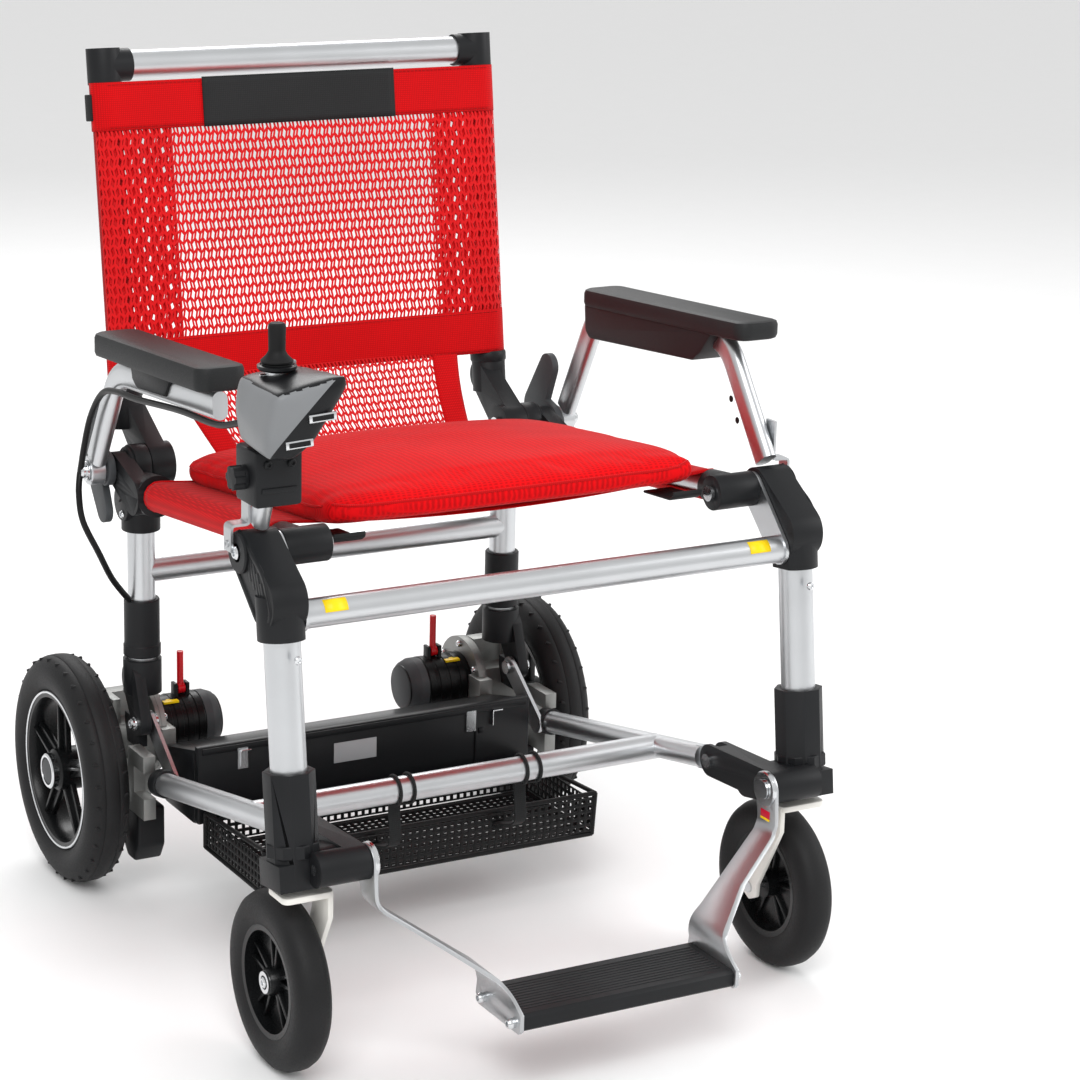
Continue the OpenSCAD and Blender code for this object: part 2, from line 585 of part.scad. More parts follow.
// ---- footrest ----------------------------------------------------------------------
// bent strap: its side-to-side profile, cut to its outline seen from the side
fp_x = plate_len / 2;
fy0 = cax - 182;
module footrest_straps() color([0.8, 0.8, 0.8]) pair() difference() {
  side = [[lx - 62, F[1] + 22], [lx - 62, cz - 33], [fp_x + 2, 110], [fp_x + 2, 70]];
  intersection() {
    rotate([90, 0, 0]) translate([0, 0, -ay - 40]) linear_extrude(400) polygon(strip(side, 22, 4));
    ex(0, lx) {
      disc(F, 18);
      polygon([F + [-18, 0], F + [-21, -40], F + [-45, -78], F + [-85, -112], [fy0, 92], [fy0, 76],
        [fy0 + 4, 72], [fy0 + 82, 72], [fy0 + 88, 82], [fy0 + 86, 96], F + [-22, -100], F + [-6, -70],
        F + [10, -40], F + [18, 0]]);
    }
  }
  xcyl(0, lx, F, 10.1);
  xcyl(0, fp_x + 20, [fy0 + 12, 81], 6);
  xcyl(0, fp_x + 20, [fy0 + 70, 84], 6);
}
module footplate() color([0.07, 0.07, 0.07]) difference() {
  ex(-fp_x, fp_x) polygon([[fy0 + 3, 76], [fy0 + 3, 88], [fy0 + 7, 91], [fy0 + plate_depth, 91],
    [fy0 + plate_depth, 80], [fy0 + 20, 79], [fy0 + 18, 74], [fy0 + 5, 74]]);
  pair() xcyl(fp_x - 18, fp_x + 1, [fy0 + 12, 81], 6);
  pair() xcyl(fp_x - 18, fp_x + 1, [fy0 + 70, 84], 6);
}
module footrest_bolts() color([0.6, 0.6, 0.62]) pair() {
  xcyl(fp_x - 16, fp_x + 6, [fy0 + 12, 81], 6);
  xcyl(fp_x + 4, fp_x + 7, [fy0 + 12, 81], 10);
  xcyl(fp_x - 16, fp_x + 6, [fy0 + 70, 84], 6);
  xcyl(fp_x + 4, fp_x + 7, [fy0 + 70, 84], 10);
}

// ---- lower frame ---------------------------------------------------------------------
xb_y = C[0] + 117;
xb_z = C[1] + 117 * uT[1] / uT[0];
module lower_frame() color([0.76, 0.77, 0.78]) difference() {
  union() {
    pair() rod(p3(xt, C + 24 * uT), p3(xt, T0), side_d);
    pair() ex(xt - 5.5, xt + 5.5) bar2(C, C + 28 * uT, 12, 12);
    pair() ex(xt - 16, xt - 12) bar2(D, T0, 12, 12);
    xcyl(-xt, xt, [xb_y, xb_z], low_cross_d);
  }
  pair() rod(p3(xt, C + 34 * uT), p3(xt, T0 + uT), side_d - 2 * wall);
  xcyl(-xt, xt, [xb_y, xb_z], low_cross_d - 2 * wall);
  pair() xcyl(xt - 30, xt + 30, C, 12);
  pair() xcyl(xt - 30, xt, D, 8.1);
}
module tube_collars() color([0.06, 0.06, 0.06]) pair() difference() {
  rod(p3(xt, T0 - 12 * uT), p3(xt, T0 + 4 * uT), side_d + 5);
  rod(p3(xt, T0 - 14 * uT), p3(xt, T0), side_d);
  ex(xt - 17, xt - 11.9) bar2(D, T0, 12, 12);
}
// basket: top and bottom heights, depth, and its sloping front face
basket_top = 128;
basket_low = 75;
basket_depth = 155;
basket_wall = 2;
function basket_front(z) = ay + 175 + 5 * (basket_top - z) / (basket_top - basket_low);
module cargo_basket() color([0.05, 0.05, 0.05]) difference() {
  x = xt - 38;
  rear = ay + 175 + basket_depth;
  ex(-x, x) polygon([[basket_front(basket_top), basket_top], [rear, basket_top - 10], [rear, basket_low],
    [basket_front(basket_low), basket_low]]);
  ex(-x + basket_wall, x - basket_wall) polygon([[basket_front(basket_top) + 3, basket_top + 22],
    [rear - basket_wall, basket_top + 22], [rear - basket_wall, basket_low + basket_wall],
    [basket_front(basket_low) + basket_wall, basket_low + basket_wall]]);
}
module bungee_ring(x) difference() {
  xcyl(x, x + 5, [xb_y, xb_z], low_cross_d + 8);
  xcyl(x - 1, x + 6, [xb_y, xb_z], low_cross_d);
}
module basket_bungees() color([0.04, 0.04, 0.04]) for (x = [-71, 78]) {
  y0 = xb_y + low_cross_d / 2 + fit_gap;
  bungee_ring(x - 11);
  bungee_ring(x + 6);
  box([x - 10, y0, 118], [x + 10, y0 + 4, xb_z]);
  ex(x - 10, x + 10) polygon([[y0, 118], [y0 + 4, 114], [basket_front(106) - fit_gap, 106],
    [basket_front(110) - fit_gap, 110]]);
}

rear_legs();
hinge_brackets();
hinge_covers();
leg_sleeves();
lower_brackets();
gearboxes();
motors();
battery_case();
battery_clips();
antitip_feet();
pivot_bolts();
cable_lower();
release_lever_r();
release_lever_l();
tyre_r();
rim_r();
tyre_l();
rim_l();
seat_rails();
seat_sling();
rail_clamps();
rail_yokes();
seat_cushion();
arm_tube_r();
arm_pad_r();
arm_latch_r();
pod();
clamp_block();
cable_upper();
clamp_knob();
gimbal();
joystick();
power_button();
arm_tube_l();
arm_pad_l();
arm_latch_l();
back_frame();
back_elbows();
back_sockets();
back_fabric();
back_patch();
front_legs();
front_crossbar();
front_brackets();
front_sleeves();
front_links();
front_pins();
fork_r();
caster_tyre_r();
caster_rim_r();
fork_l();
caster_tyre_l();
caster_rim_l();
footrest_straps();
footplate();
footrest_bolts();
lower_frame();
tube_collars();
cargo_basket();
basket_bungees();
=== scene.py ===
"""Looks of a folding power wheelchair, built round its fixed CAD frame. Lengths are in millimetres."""
import json
import math

import bmesh
import bpy
from bpy.props import FloatProperty, FloatVectorProperty
from mathutils import Matrix, Vector, noise
from mathutils.bvhtree import BVHTree


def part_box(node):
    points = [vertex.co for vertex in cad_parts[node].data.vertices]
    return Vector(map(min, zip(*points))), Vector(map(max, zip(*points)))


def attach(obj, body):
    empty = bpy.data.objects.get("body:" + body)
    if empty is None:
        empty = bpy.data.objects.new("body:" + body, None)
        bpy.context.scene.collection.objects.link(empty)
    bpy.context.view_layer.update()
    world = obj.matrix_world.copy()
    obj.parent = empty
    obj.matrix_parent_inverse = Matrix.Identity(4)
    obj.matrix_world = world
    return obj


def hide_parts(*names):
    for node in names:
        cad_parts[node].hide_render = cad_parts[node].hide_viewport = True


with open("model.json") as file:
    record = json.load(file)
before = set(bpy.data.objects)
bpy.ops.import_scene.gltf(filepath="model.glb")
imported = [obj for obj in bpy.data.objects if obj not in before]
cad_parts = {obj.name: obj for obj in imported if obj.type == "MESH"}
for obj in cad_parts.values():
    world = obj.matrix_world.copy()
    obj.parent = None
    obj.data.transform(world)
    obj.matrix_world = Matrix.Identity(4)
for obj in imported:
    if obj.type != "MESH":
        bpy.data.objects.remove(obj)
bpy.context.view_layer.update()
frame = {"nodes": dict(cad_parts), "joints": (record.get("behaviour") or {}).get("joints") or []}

bl_info = {
    "name": "Folding Power Wheelchair",
    "version": (1, 0, 0),
    "blender": (4, 5, 0),
    "location": "View3D > Sidebar > Wheelchair",
    "description": "Builds the fabric, mouldings, wheels and fittings of a folding power wheelchair",
    "category": "Object",
}

MM = 0.001
SIDES = (("l", 1.0), ("r", -1.0))
PIVOT = {j["name"]: Vector(j["pos_m"]) / MM for j in frame["joints"] if "pos_m" in j}
REAR_HINGE = PIVOT["fold"]
SEAT_HINGE = PIVOT["front_hinge"]
LOWER_HINGE = PIVOT["lower_swing"]
FOOT_HINGE = PIVOT["footrest_flip"]
DRIVE_AXLE = PIVOT["drive_spin_l"]
CASTER_AXLE = PIVOT["caster_spin_l"]
CASTER_SWIVEL = PIVOT["caster_swivel_l"]
STICK_PIVOT = PIVOT["joystick_side"]


def node_box(name):
    """Lowest and highest corner of a CAD node, in millimetres."""
    low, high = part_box(name)
    return low / MM, high / MM


def wheel_centre(tyre):
    """The middle of a wheel, from its tyre."""
    low, high = node_box(tyre)
    return (low + high) / 2


# The seat's own axes: along the rails from the front hinge, and square to them.
RAIL_X = (node_box("seat_rails")[1].x - node_box("seat_rails")[0].x) / 2 - 12.5
RAIL_SLOPE = math.radians(6.24)
# The backrest's own axes: along the posts from hinge height, and square to them.
POST_X = 223.0
POST_FOOT = Vector((0.0, REAR_HINGE.y + 58.0, REAR_HINGE.z))
BACK_LEAN = math.radians(7.8)
ARM_X = 285.0
FRONT_LEG_X = 287.0
ARM_TOP = REAR_HINGE.z + 165.0


def on_seat(x, along, up):
    """A point given across, along and above the seat rails."""
    c, s = math.cos(RAIL_SLOPE), math.sin(RAIL_SLOPE)
    return Vector((x, SEAT_HINGE.y + along * c + up * s, SEAT_HINGE.z - along * s + up * c))


def on_back(x, out, along):
    """A point given across, behind and along the backrest posts."""
    c, s = math.cos(BACK_LEAN), math.sin(BACK_LEAN)
    return POST_FOOT + Vector((x, out * c + along * s, -out * s + along * c))


# ---- sizes and colours a user would change ---------------------------------
def linear(hex_colour):
    """Linear RGBA of an sRGB hex colour."""
    parts = [int(hex_colour[i:i + 2], 16) / 255 for i in (0, 2, 4)]
    return (*[p / 12.92 if p <= 0.04045 else ((p + 0.055) / 1.055) ** 2.4 for p in parts], 1.0)


def colour_property(label, words, hex_colour):
    return FloatVectorProperty(name=label, description=words, subtype="COLOR", size=4, min=0.0, max=1.0,
                               default=linear(hex_colour))


class WheelchairColours(bpy.types.PropertyGroup):
    fabric: colour_property("Fabric", "Polyester of the seat and backrest", "D80008")
    tube: colour_property("Tube", "Anodised aluminium tubes", "C9CBCD")
    moulding: colour_property("Moulding", "Glass-filled nylon brackets", "17181A")
    rubber: colour_property("Rubber", "Tyres and gaiter", "1A1A1B")
    fork: colour_property("Fork", "Powder-coated caster forks", "E4E2DC")


class WheelchairSizes(bpy.types.PropertyGroup):
    crown: FloatProperty(name="Cushion crown", description="Rise of the cushion's middle over its edge",
                         unit="LENGTH", default=0.016, min=0.0, max=0.04)
    sag: FloatProperty(name="Backrest sag", description="How far the net hangs back between the posts",
                       unit="LENGTH", default=0.006, min=0.0, max=0.012)
    net_pitch: FloatProperty(name="Net pitch", description="Distance between openings across the net",
                             unit="LENGTH", default=0.0046, min=0.003, max=0.01)


# ---- materials --------------------------------------------------------------
def node(tree, kind, inputs=(), **settings):
    """Adds a node with its settings; an input given a socket is linked, any other value is set."""
    made = tree.nodes.new(kind)
    for key, value in settings.items():
        setattr(made, key, value)
    for key, value in dict(inputs).items():
        if isinstance(value, bpy.types.NodeSocket):
            tree.links.new(value, made.inputs[key])
        else:
            made.inputs[key].default_value = value
    return made


def per_metre(size_mm):
    """Texture scale that makes a feature about size_mm wide."""
    return 1.0 / (size_mm * MM)


def shaded(colour, factor):
    return (*[min(1.0, c * factor) for c in colour[:3]], 1.0)


def surface(name, colour, roughness, grain_mm, relief_mm, metallic=0.0, mottle=0.12, spread=0.08,
            pattern=None, stretch=(1.0, 1.0, 1.0), **sockets):
    """A surface whose colour drifts over hand-sized patches, with grain in its gloss and relief.

    pattern(tree, where) may give a height socket of its own, such as a weave's; its low parts then get
    painted shade in the colour.
    """
    found = bpy.data.materials.get(name)
    if found:
        return found
    made = bpy.data.materials.new(name)
    made.use_nodes = True
    tree = made.node_tree
    shader = tree.nodes["Principled BSDF"]
    where = node(tree, "ShaderNodeTexCoord").outputs["Object"]
    where = node(tree, "ShaderNodeMapping", {"Vector": where, "Scale": stretch}).outputs["Vector"]
    patches = node(tree, "ShaderNodeTexNoise", {"Vector": where, "Scale": per_metre(60.0), "Detail": 3.0})
    grain = node(tree, "ShaderNodeTexNoise", {"Vector": where, "Scale": per_metre(grain_mm), "Detail": 4.0})
    drift = node(tree, "ShaderNodeMapRange", {"Value": patches.outputs["Fac"], "From Min": 0.3,
                                              "From Max": 0.7})
    height = pattern(tree, where) if pattern else grain.outputs["Fac"]
    base = node(tree, "ShaderNodeMixRGB", {"Fac": drift.outputs["Result"], "Color1": shaded(colour,
    1 - mottle),
                                           "Color2": shaded(colour, 1 + mottle)})
    colour_out = base.outputs["Color"]
    if pattern:
        # Painted shade: the colour darkens towards 0.62 in the pattern's low parts, as if its recesses lay in
        # shade.
        painted_hollow_shade = node(tree, "ShaderNodeMapRange", {"Value": height, "To Min": 0.62, "To Max": 1.0})
        colour_out = node(tree, "ShaderNodeMixRGB", {"Fac": 1.0, "Color1": colour_out,
                                                     "Color2": painted_hollow_shade.outputs["Result"]},
                          blend_type="MULTIPLY").outputs["Color"]
    gloss = node(tree, "ShaderNodeMapRange", {"Value": grain.outputs["Fac"], "From Min": 0.3, "From Max": 0.7,
                                              "To Min": max(0.03, roughness - spread),
                                              "To Max": min(1.0, roughness + spread)})
    relief = node(tree, "ShaderNodeBump", {"Height": height, "Distance": relief_mm * MM, "Strength": 1.0})
    tree.links.new(colour_out, shader.inputs["Base Color"])
    tree.links.new(gloss.outputs["Result"], shader.inputs["Roughness"])
    tree.links.new(relief.outputs["Normal"], shader.inputs["Normal"])
    shader.inputs["Metallic"].default_value = metallic
    if not metallic:
        shader.inputs["Specular IOR Level"].default_value = 0.22
    for socket, value in sockets.items():
        shader.inputs[socket.replace("_", " ")].default_value = value
    return made


def crepe(tree, where):
    """Short raised wales about 3 mm apart, drawn a little coarse so that they show."""
    bend = node(tree, "ShaderNodeTexNoise", {"Vector": where, "Scale": per_metre(9.0), "Detail": 2.0})
    shift = node(tree, "ShaderNodeVectorMath", {0: bend.outputs["Color"], "Scale": 3.0 * MM},
                 operation="SCALE")
    moved = node(tree, "ShaderNodeVectorMath", {0: where, 1: shift.outputs["Vector"]}, operation="ADD")
    wales = node(tree, "ShaderNodeTexWave", {"Vector": moved.outputs["Vector"], "Scale": per_metre(3.0) / 6.3,
                                             "Distortion": 2.0, "Detail": 2.0, "Detail Scale": 2.0},
                 bands_direction="X")
    yarns = node(tree, "ShaderNodeTexWave", {"Vector": where, "Scale": per_metre(1.2) / 6.3,
                                             "Distortion": 0.6},
                 bands_direction="Y")
    return node(tree, "ShaderNodeMath", {0: wales.outputs["Fac"], 1: yarns.outputs["Fac"]},
                operation="MAXIMUM").outputs["Value"]


def plain_weave(tree, where):
    """Warp and weft 1.1 mm apart, crossing over and under."""
    warp = node(tree, "ShaderNodeTexWave", {"Vector": where, "Scale": per_metre(1.1) / 6.3},
                bands_direction="X")
    weft = node(tree, "ShaderNodeTexWave", {"Vector": where, "Scale": per_metre(1.1) / 6.3},
                bands_direction="Z")
    return node(tree, "ShaderNodeMath", {0: warp.outputs["Fac"], 1: weft.outputs["Fac"]},
                operation="MULTIPLY").outputs["Value"]


def leather_cells(tree, where):
    """Small raised cells of a moulded skin, 0.9 mm across."""
    cells = node(tree, "ShaderNodeTexVoronoi", {"Vector": where, "Scale": per_metre(0.9)}, feature="F1")
    return cells.outputs["Distance"]


def seat_polyester():
    # Crepe-woven polyester: matt and soft, with a faint bloom at grazing angles.
    return surface("woven polyester, crepe", colours().fabric, 0.78, 0.8, 0.25, mottle=0.05, pattern=crepe,
                   Sheen_Weight=0.06, Sheen_Roughness=0.4, Specular_IOR_Level=0.12)


def band_polyester():
    # Plain-woven polyester webbing: flat and even, with a dull surface.
    return surface("woven polyester, plain", colours().fabric, 0.74, 0.8, 0.12, mottle=0.04,
                   pattern=plain_weave,
                   Sheen_Weight=0.05, Specular_IOR_Level=0.12)


def net_polyester():
    # Knitted spacer net: round yarns, each catching a little light.
    return surface("knitted polyester net", shaded(colours().fabric, 0.86), 0.6, 0.5, 0.08, mottle=0.06,
                   Sheen_Weight=0.05, Specular_IOR_Level=0.2)


def painted_shade_polyester():
    # Inner layer of the doubled net: the same knit, its colour darkened to 0.45 as painted shade.
    return surface("knitted polyester with painted shade", shaded(colours().fabric, 0.45), 0.8, 0.6, 0.1, mottle=0.1,
                   Sheen_Weight=0.04)


def black_webbing():
    # Coated nylon cloth: tight weave under a dull coat.
    return surface("coated nylon cloth", linear("242526"), 0.66, 0.7, 0.06, mottle=0.08, pattern=plain_weave)


def anodised_aluminium():
    # Bead-blasted and anodised: a satin metal with soft, wide highlights.
    return surface("anodised aluminium, satin", colours().tube, 0.34, 0.35, 0.004, metallic=1.0, mottle=0.03,
                   spread=0.05)


def brushed_strap():
    # Rolled and brushed steel: streaks along the strip.
    return surface("brushed steel strip", linear("B9BBBD"), 0.36, 0.5, 0.006, metallic=1.0, mottle=0.04,
                   stretch=(1.0, 0.2, 0.2))


def zinc_plate():
    # Bright zinc on turned steel: sharp highlights, a trace of machining.
    return surface("bright zinc plate", linear("D4D6D8"), 0.2, 0.3, 0.003, metallic=1.0, mottle=0.04)


def cast_aluminium():
    # Die cast and tumbled: grainy, duller than the tubes.
    return surface("die-cast aluminium", linear("8F908E"), 0.5, 1.2, 0.05, metallic=0.9, mottle=0.1)


def nylon_black():
    # Glass-filled nylon: even black with a fine spark-eroded grain.
    return surface("glass-filled nylon, black", colours().moulding, 0.46, 0.7, 0.03, mottle=0.12)


def nylon_grey():
    # The same nylon in grey, for the outer covers.
    return surface("glass-filled nylon, grey", linear("3E4042"), 0.5, 0.7, 0.03, mottle=0.1)


def abs_black():
    # Satin ABS housing: smoother than the nylon, with a clear highlight.
    return surface("ABS, satin black", linear("121315"), 0.34, 0.5, 0.008, mottle=0.08)


def abs_grey():
    # Painted ABS side shell: mid grey, softly reflective.
    return surface("ABS, satin grey", linear("77797B"), 0.38, 0.5, 0.006, mottle=0.05)


def foam_skin():
    # Self-skinned polyurethane foam: dull, with a fine leather grain.
    return surface("polyurethane foam skin", linear("252627"), 0.52, 0.8, 0.04, mottle=0.08,
                   pattern=leather_cells)


def tyre_rubber():
    # Moulded rubber: dark grey bloom over black, rough on the tread.
    return surface("moulded tyre rubber", colours().rubber, 0.58, 1.4, 0.03, mottle=0.18)


def gaiter_rubber():
    # Soft silicone: deep black with a low sheen.
    return surface("soft silicone rubber", linear("111112"), 0.62, 0.6, 0.01, mottle=0.1)


def rim_plastic():
    # Glossy glass-filled nylon rim: darker and shinier than the brackets.
    return surface("glass-filled nylon, gloss", linear("101112"), 0.28, 0.6, 0.01, mottle=0.1)


def fork_coat():
    # Powder coat on steel: off-white with a slight orange peel.
    return surface("powder coat, off-white", colours().fork, 0.4, 1.6, 0.02, mottle=0.03, Coat_Weight=0.15)


def motor_paint():
    # Black enamel over a drawn steel can.
    return surface("black enamel", linear("0D0D0E"), 0.32, 0.8, 0.006, mottle=0.1)


def lever_plastic():
    # Red ABS, polished tool: bright with a hard highlight.
    return surface("ABS, gloss red", linear("C8101C"), 0.22, 0.6, 0.004, mottle=0.05, Coat_Weight=0.3)


def cable_sheath():
    # PVC sheath: black, slightly shiny.
    return surface("PVC sheath", linear("0C0C0D"), 0.38, 0.5, 0.006, mottle=0.08)


def basket_plastic():
    # Moulded polypropylene: waxy black.
    return surface("polypropylene, black", linear("0F0F10"), 0.5, 0.8, 0.02, mottle=0.1)


def yellow_film():
    # Printed vinyl label, left blank.
    return surface("vinyl film, yellow", linear("F4CE14"), 0.35, 0.6, 0.004, mottle=0.04)


def red_film():
    return surface("vinyl film, red", linear("C41230"), 0.35, 0.6, 0.004, mottle=0.04)


def grey_film():
    return surface("vinyl film, grey", linear("9A9C9E"), 0.4, 0.6, 0.004, mottle=0.04)


def colours():
    return bpy.context.scene.wheelchair_colours


def sizes():
    return bpy.context.scene.wheelchair_sizes


# ---- shapes: each returns a bmesh in millimetres -----------------------------
def soften(bm, radius=0.0, segments=2, sharp=30.0):
    """Turns the faces outwards and rounds the sharp edges."""
    bmesh.ops.recalc_face_normals(bm, faces=bm.faces[:])
    if radius > 0:
        edges = [e for e in bm.edges if len(e.link_faces) == 2 and e.calc_face_angle() > math.radians(sharp)]
        bmesh.ops.bevel(bm, geom=edges, offset=radius, offset_type="OFFSET", affect="EDGES",
                        segments=segments,
                        profile=0.5, material=-1, clamp_overlap=True)
    return bm


def block(low, high, radius=0.0):
    """A box between two corners."""
    low, high = Vector(low), Vector(high)
    bm = bmesh.new()
    place = Matrix.Translation((low + high) / 2) @ Matrix.Diagonal((*(high - low), 1.0))
    bmesh.ops.create_cube(bm, size=1.0, matrix=place)
    return soften(bm, radius)


def prism(outline, low, high, radius=0.0, upright=False):
    """A (y, z) outline extruded along X, or an (x, y) outline along Z when upright."""
    bm = bmesh.new()
    spot = (lambda a, b: (a, b, low)) if upright else (lambda a, b: (low, a, b))
    face = bm.faces.new([bm.verts.new(spot(a, b)) for a, b in outline])
    made = bmesh.ops.extrude_face_region(bm, geom=[face])
    far = [v for v in made["geom"] if isinstance(v, bmesh.types.BMVert)]
    bmesh.ops.translate(bm, vec=(0, 0, high - low) if upright else (high - low, 0, 0), verts=far)
    return soften(bm, radius)


def lathe(profile, centre, steps=64, closed=True):
    """(radius, along) points spun round the X line through centre."""
    bm = bmesh.new()
    line = [bm.verts.new((along, 0, radius)) for radius, along in profile]
    pairs = list(zip(line, line[1:])) + ([(line[-1], line[0])] if closed else [])
    edges = [bm.edges.new(pair) for pair in pairs]
    bmesh.ops.spin(bm, geom=line + edges, cent=(0, 0, 0), axis=(1, 0, 0), dvec=(0, 0, 0),
                   angle=math.tau, steps=steps, use_merge=True, use_duplicate=False)
    bmesh.ops.remove_doubles(bm, verts=bm.verts[:], dist=0.001)
    bmesh.ops.translate(bm, vec=centre, verts=bm.verts[:])
    return soften(bm)


def round_section(radius):
    return lambda co: co * radius


def oval_section(height, width):
    """Flat-sided oval, width across and height the other way."""
    least = min(height, width) / 2

    def place(co):
        return Vector((co.x * least + math.copysign(width / 2 - least, co.x),
                       co.y * least + math.copysign(height / 2 - least, co.y), 0))

    return place


def sweep(path, section, sides=20, across=Vector((1, 0, 0)), taper=None):
    """Rings of a section set along a path and bridged, with flat ends."""
    bm = bmesh.new()
    loops = []
    last = len(path) - 1
    for i, point in enumerate(path):
        along = (path[min(i + 1, last)] - path[max(i - 1, 0)]).normalized()
        side = (across - across.dot(along) * along).normalized()
        turn = Matrix((side, along.cross(side), along)).transposed()
        made = bmesh.ops.create_circle(bm, cap_ends=False, segments=sides, radius=1.0)
        scale = taper(i / last) if taper else 1.0
        for v in made["verts"]:
            v.co = point + turn @ (section(v.co) * scale)
        loops.append(list({e for v in made["verts"] for e in v.link_edges}))
    for first, second in zip(loops, loops[1:]):
        bmesh.ops.bridge_loops(bm, edges=first + second)
    bmesh.ops.edgeloop_fill(bm, edges=loops[0])
    bmesh.ops.edgeloop_fill(bm, edges=loops[-1])
    return soften(bm)


def rounded(points, radius, steps=8):
    """A path through points, its corners rounded."""
    path = [points[0]]
    for a, b, c in zip(points, points[1:], points[2:]):
        p = b + (a - b).normalized() * radius
        q = b + (c - b).normalized() * radius
        for k in range(steps + 1):
            t = k / steps
            path.append((1 - t) ** 2 * p + 2 * t * (1 - t) * b + t * t * q)
    return path + [points[-1]]


def smoothed(points, steps=6):
    """A smooth curve through every point."""
    path = []
    for i in range(len(points) - 1):
        a, b, c, d = (points[max(i - 1, 0)], points[i], points[i + 1], points[min(i + 2, len(points) - 1)])
        for t in (k / steps for k in range(steps)):
            path.append(0.5 * (2 * b + (c - a) * t + (2 * a - 5 * b + 4 * c - d) * t * t
                               + (3 * b - a - 3 * c + d) * t ** 3))
    return path + [points[-1]]


def round_rect(low, high, radius, steps=6):
    """Outline of a rectangle with round corners."""
    (x0, y0), (x1, y1) = low, high
    corners = ((x1 - radius, y1 - radius, 0), (x0 + radius, y1 - radius, 90),
               (x0 + radius, y0 + radius, 180), (x1 - radius, y0 + radius, 270))
    return [(cx + radius * math.cos(math.radians(start + 90 * k / steps)),
             cy + radius * math.sin(math.radians(start + 90 * k / steps)))
            for cx, cy, start in corners for k in range(steps + 1)]


def moved(bm, matrix):
    bmesh.ops.transform(bm, matrix=matrix, verts=bm.verts[:])
    return bm


def mapped(bm, place):
    """Every point put where place says."""
    for v in bm.verts:
        v.co = place(v.co)
    return bm


def painted(bm, index):
    for face in bm.faces:
        face.material_index = index
    return bm


def mirrored(bm, side):
    """The left-hand shape, turned over for the right."""
    if side < 0:
        bmesh.ops.scale(bm, vec=(-1, 1, 1), verts=bm.verts[:])
        bmesh.ops.reverse_faces(bm, faces=bm.faces[:])
    return bm


def wrapped(x0, x1, centre, radius, start, end):
    """A thin sticker round a crosswise tube, between two angles from the front."""
    bm = bmesh.new()
    bmesh.ops.create_grid(bm, x_segments=2, y_segments=10, size=1.0)

    def place(co):
        angle = math.radians(start + (end - start) * (co.y + 1) / 2)
        return Vector((x0 + (x1 - x0) * (co.x + 1) / 2, centre[0] - radius * math.cos(angle),
                       centre[1] + radius * math.sin(angle)))

    return mapped(bm, place)


def hex_bolt(centre, direction, width, height):
    """A domed socket-head bolt standing on centre."""
    profile = [(0, height * 0.55), (width * 0.22, height * 0.55), (width * 0.24, height), (width * 0.38,
    height),
               (width * 0.5, height * 0.62), (width * 0.5, 0), (0, 0)]
    turn = Vector((1, 0, 0)).rotation_difference(Vector(direction)).to_matrix().to_4x4()
    return moved(lathe(profile, (0, 0, 0), steps=18, closed=False), Matrix.Translation(centre) @ turn)


def remeshed(bm, voxel, rounds):
    """The same volume with even small faces, its edges melted by some rounds of smoothing."""
    mesh = bpy.data.meshes.new("even")
    bm.to_mesh(mesh)
    bm.free()
    even = bpy.data.objects.new("even", mesh)
    bpy.context.scene.collection.objects.link(even)
    modifier = even.modifiers.new("Voxels", "REMESH")
    modifier.mode, modifier.voxel_size = "VOXEL", voxel
    made = bmesh.new()
    made.from_object(even, bpy.context.evaluated_depsgraph_get())
    bpy.data.objects.remove(even)
    bpy.data.meshes.remove(mesh)
    for _ in range(rounds):
        bmesh.ops.smooth_vert(made, verts=made.verts[:], factor=0.5, use_axis_x=True, use_axis_y=True,
                              use_axis_z=True)
    return made


def inflated(bm, voxel, cap):
    """Cloth blown up by air from inside for twenty frames; no point may move more than cap, none may sink."""
    bmesh.ops.scale(bm, vec=(MM, MM, MM), verts=bm.verts[:])
    start = remeshed(bm, voxel * MM, 2)
    mesh = bpy.data.meshes.new("air")
    start.to_mesh(mesh)
    pad = bpy.data.objects.new("air", mesh)
    scene = bpy.context.scene
    scene.collection.objects.link(pad)
    cloth = pad.modifiers.new("Air", "CLOTH")
    cloth.settings.use_pressure = True
    cloth.settings.uniform_pressure_force = 4.0
    cloth.settings.effector_weights.gravity = 0.0
    cloth.point_cache.frame_start, cloth.point_cache.frame_end = 1, 20
    for at in range(1, 21):
        scene.frame_set(at)
    swollen = pad.evaluated_get(bpy.context.evaluated_depsgraph_get()).data
    ends = [v.co.copy() for v in swollen.vertices]
    start.verts.ensure_lookup_table()
    for v, end in zip(start.verts, ends):
        step = end - v.co
        if step.length > cap * MM:
            step *= cap * MM / step.length
        v.co += Vector((step.x, step.y, max(step.z, 0.0)))
    scene.frame_set(1)
    bpy.data.objects.remove(pad)
    bpy.data.meshes.remove(mesh)
    bmesh.ops.scale(start, vec=(1 / MM, 1 / MM, 1 / MM), verts=start.verts[:])
    return start


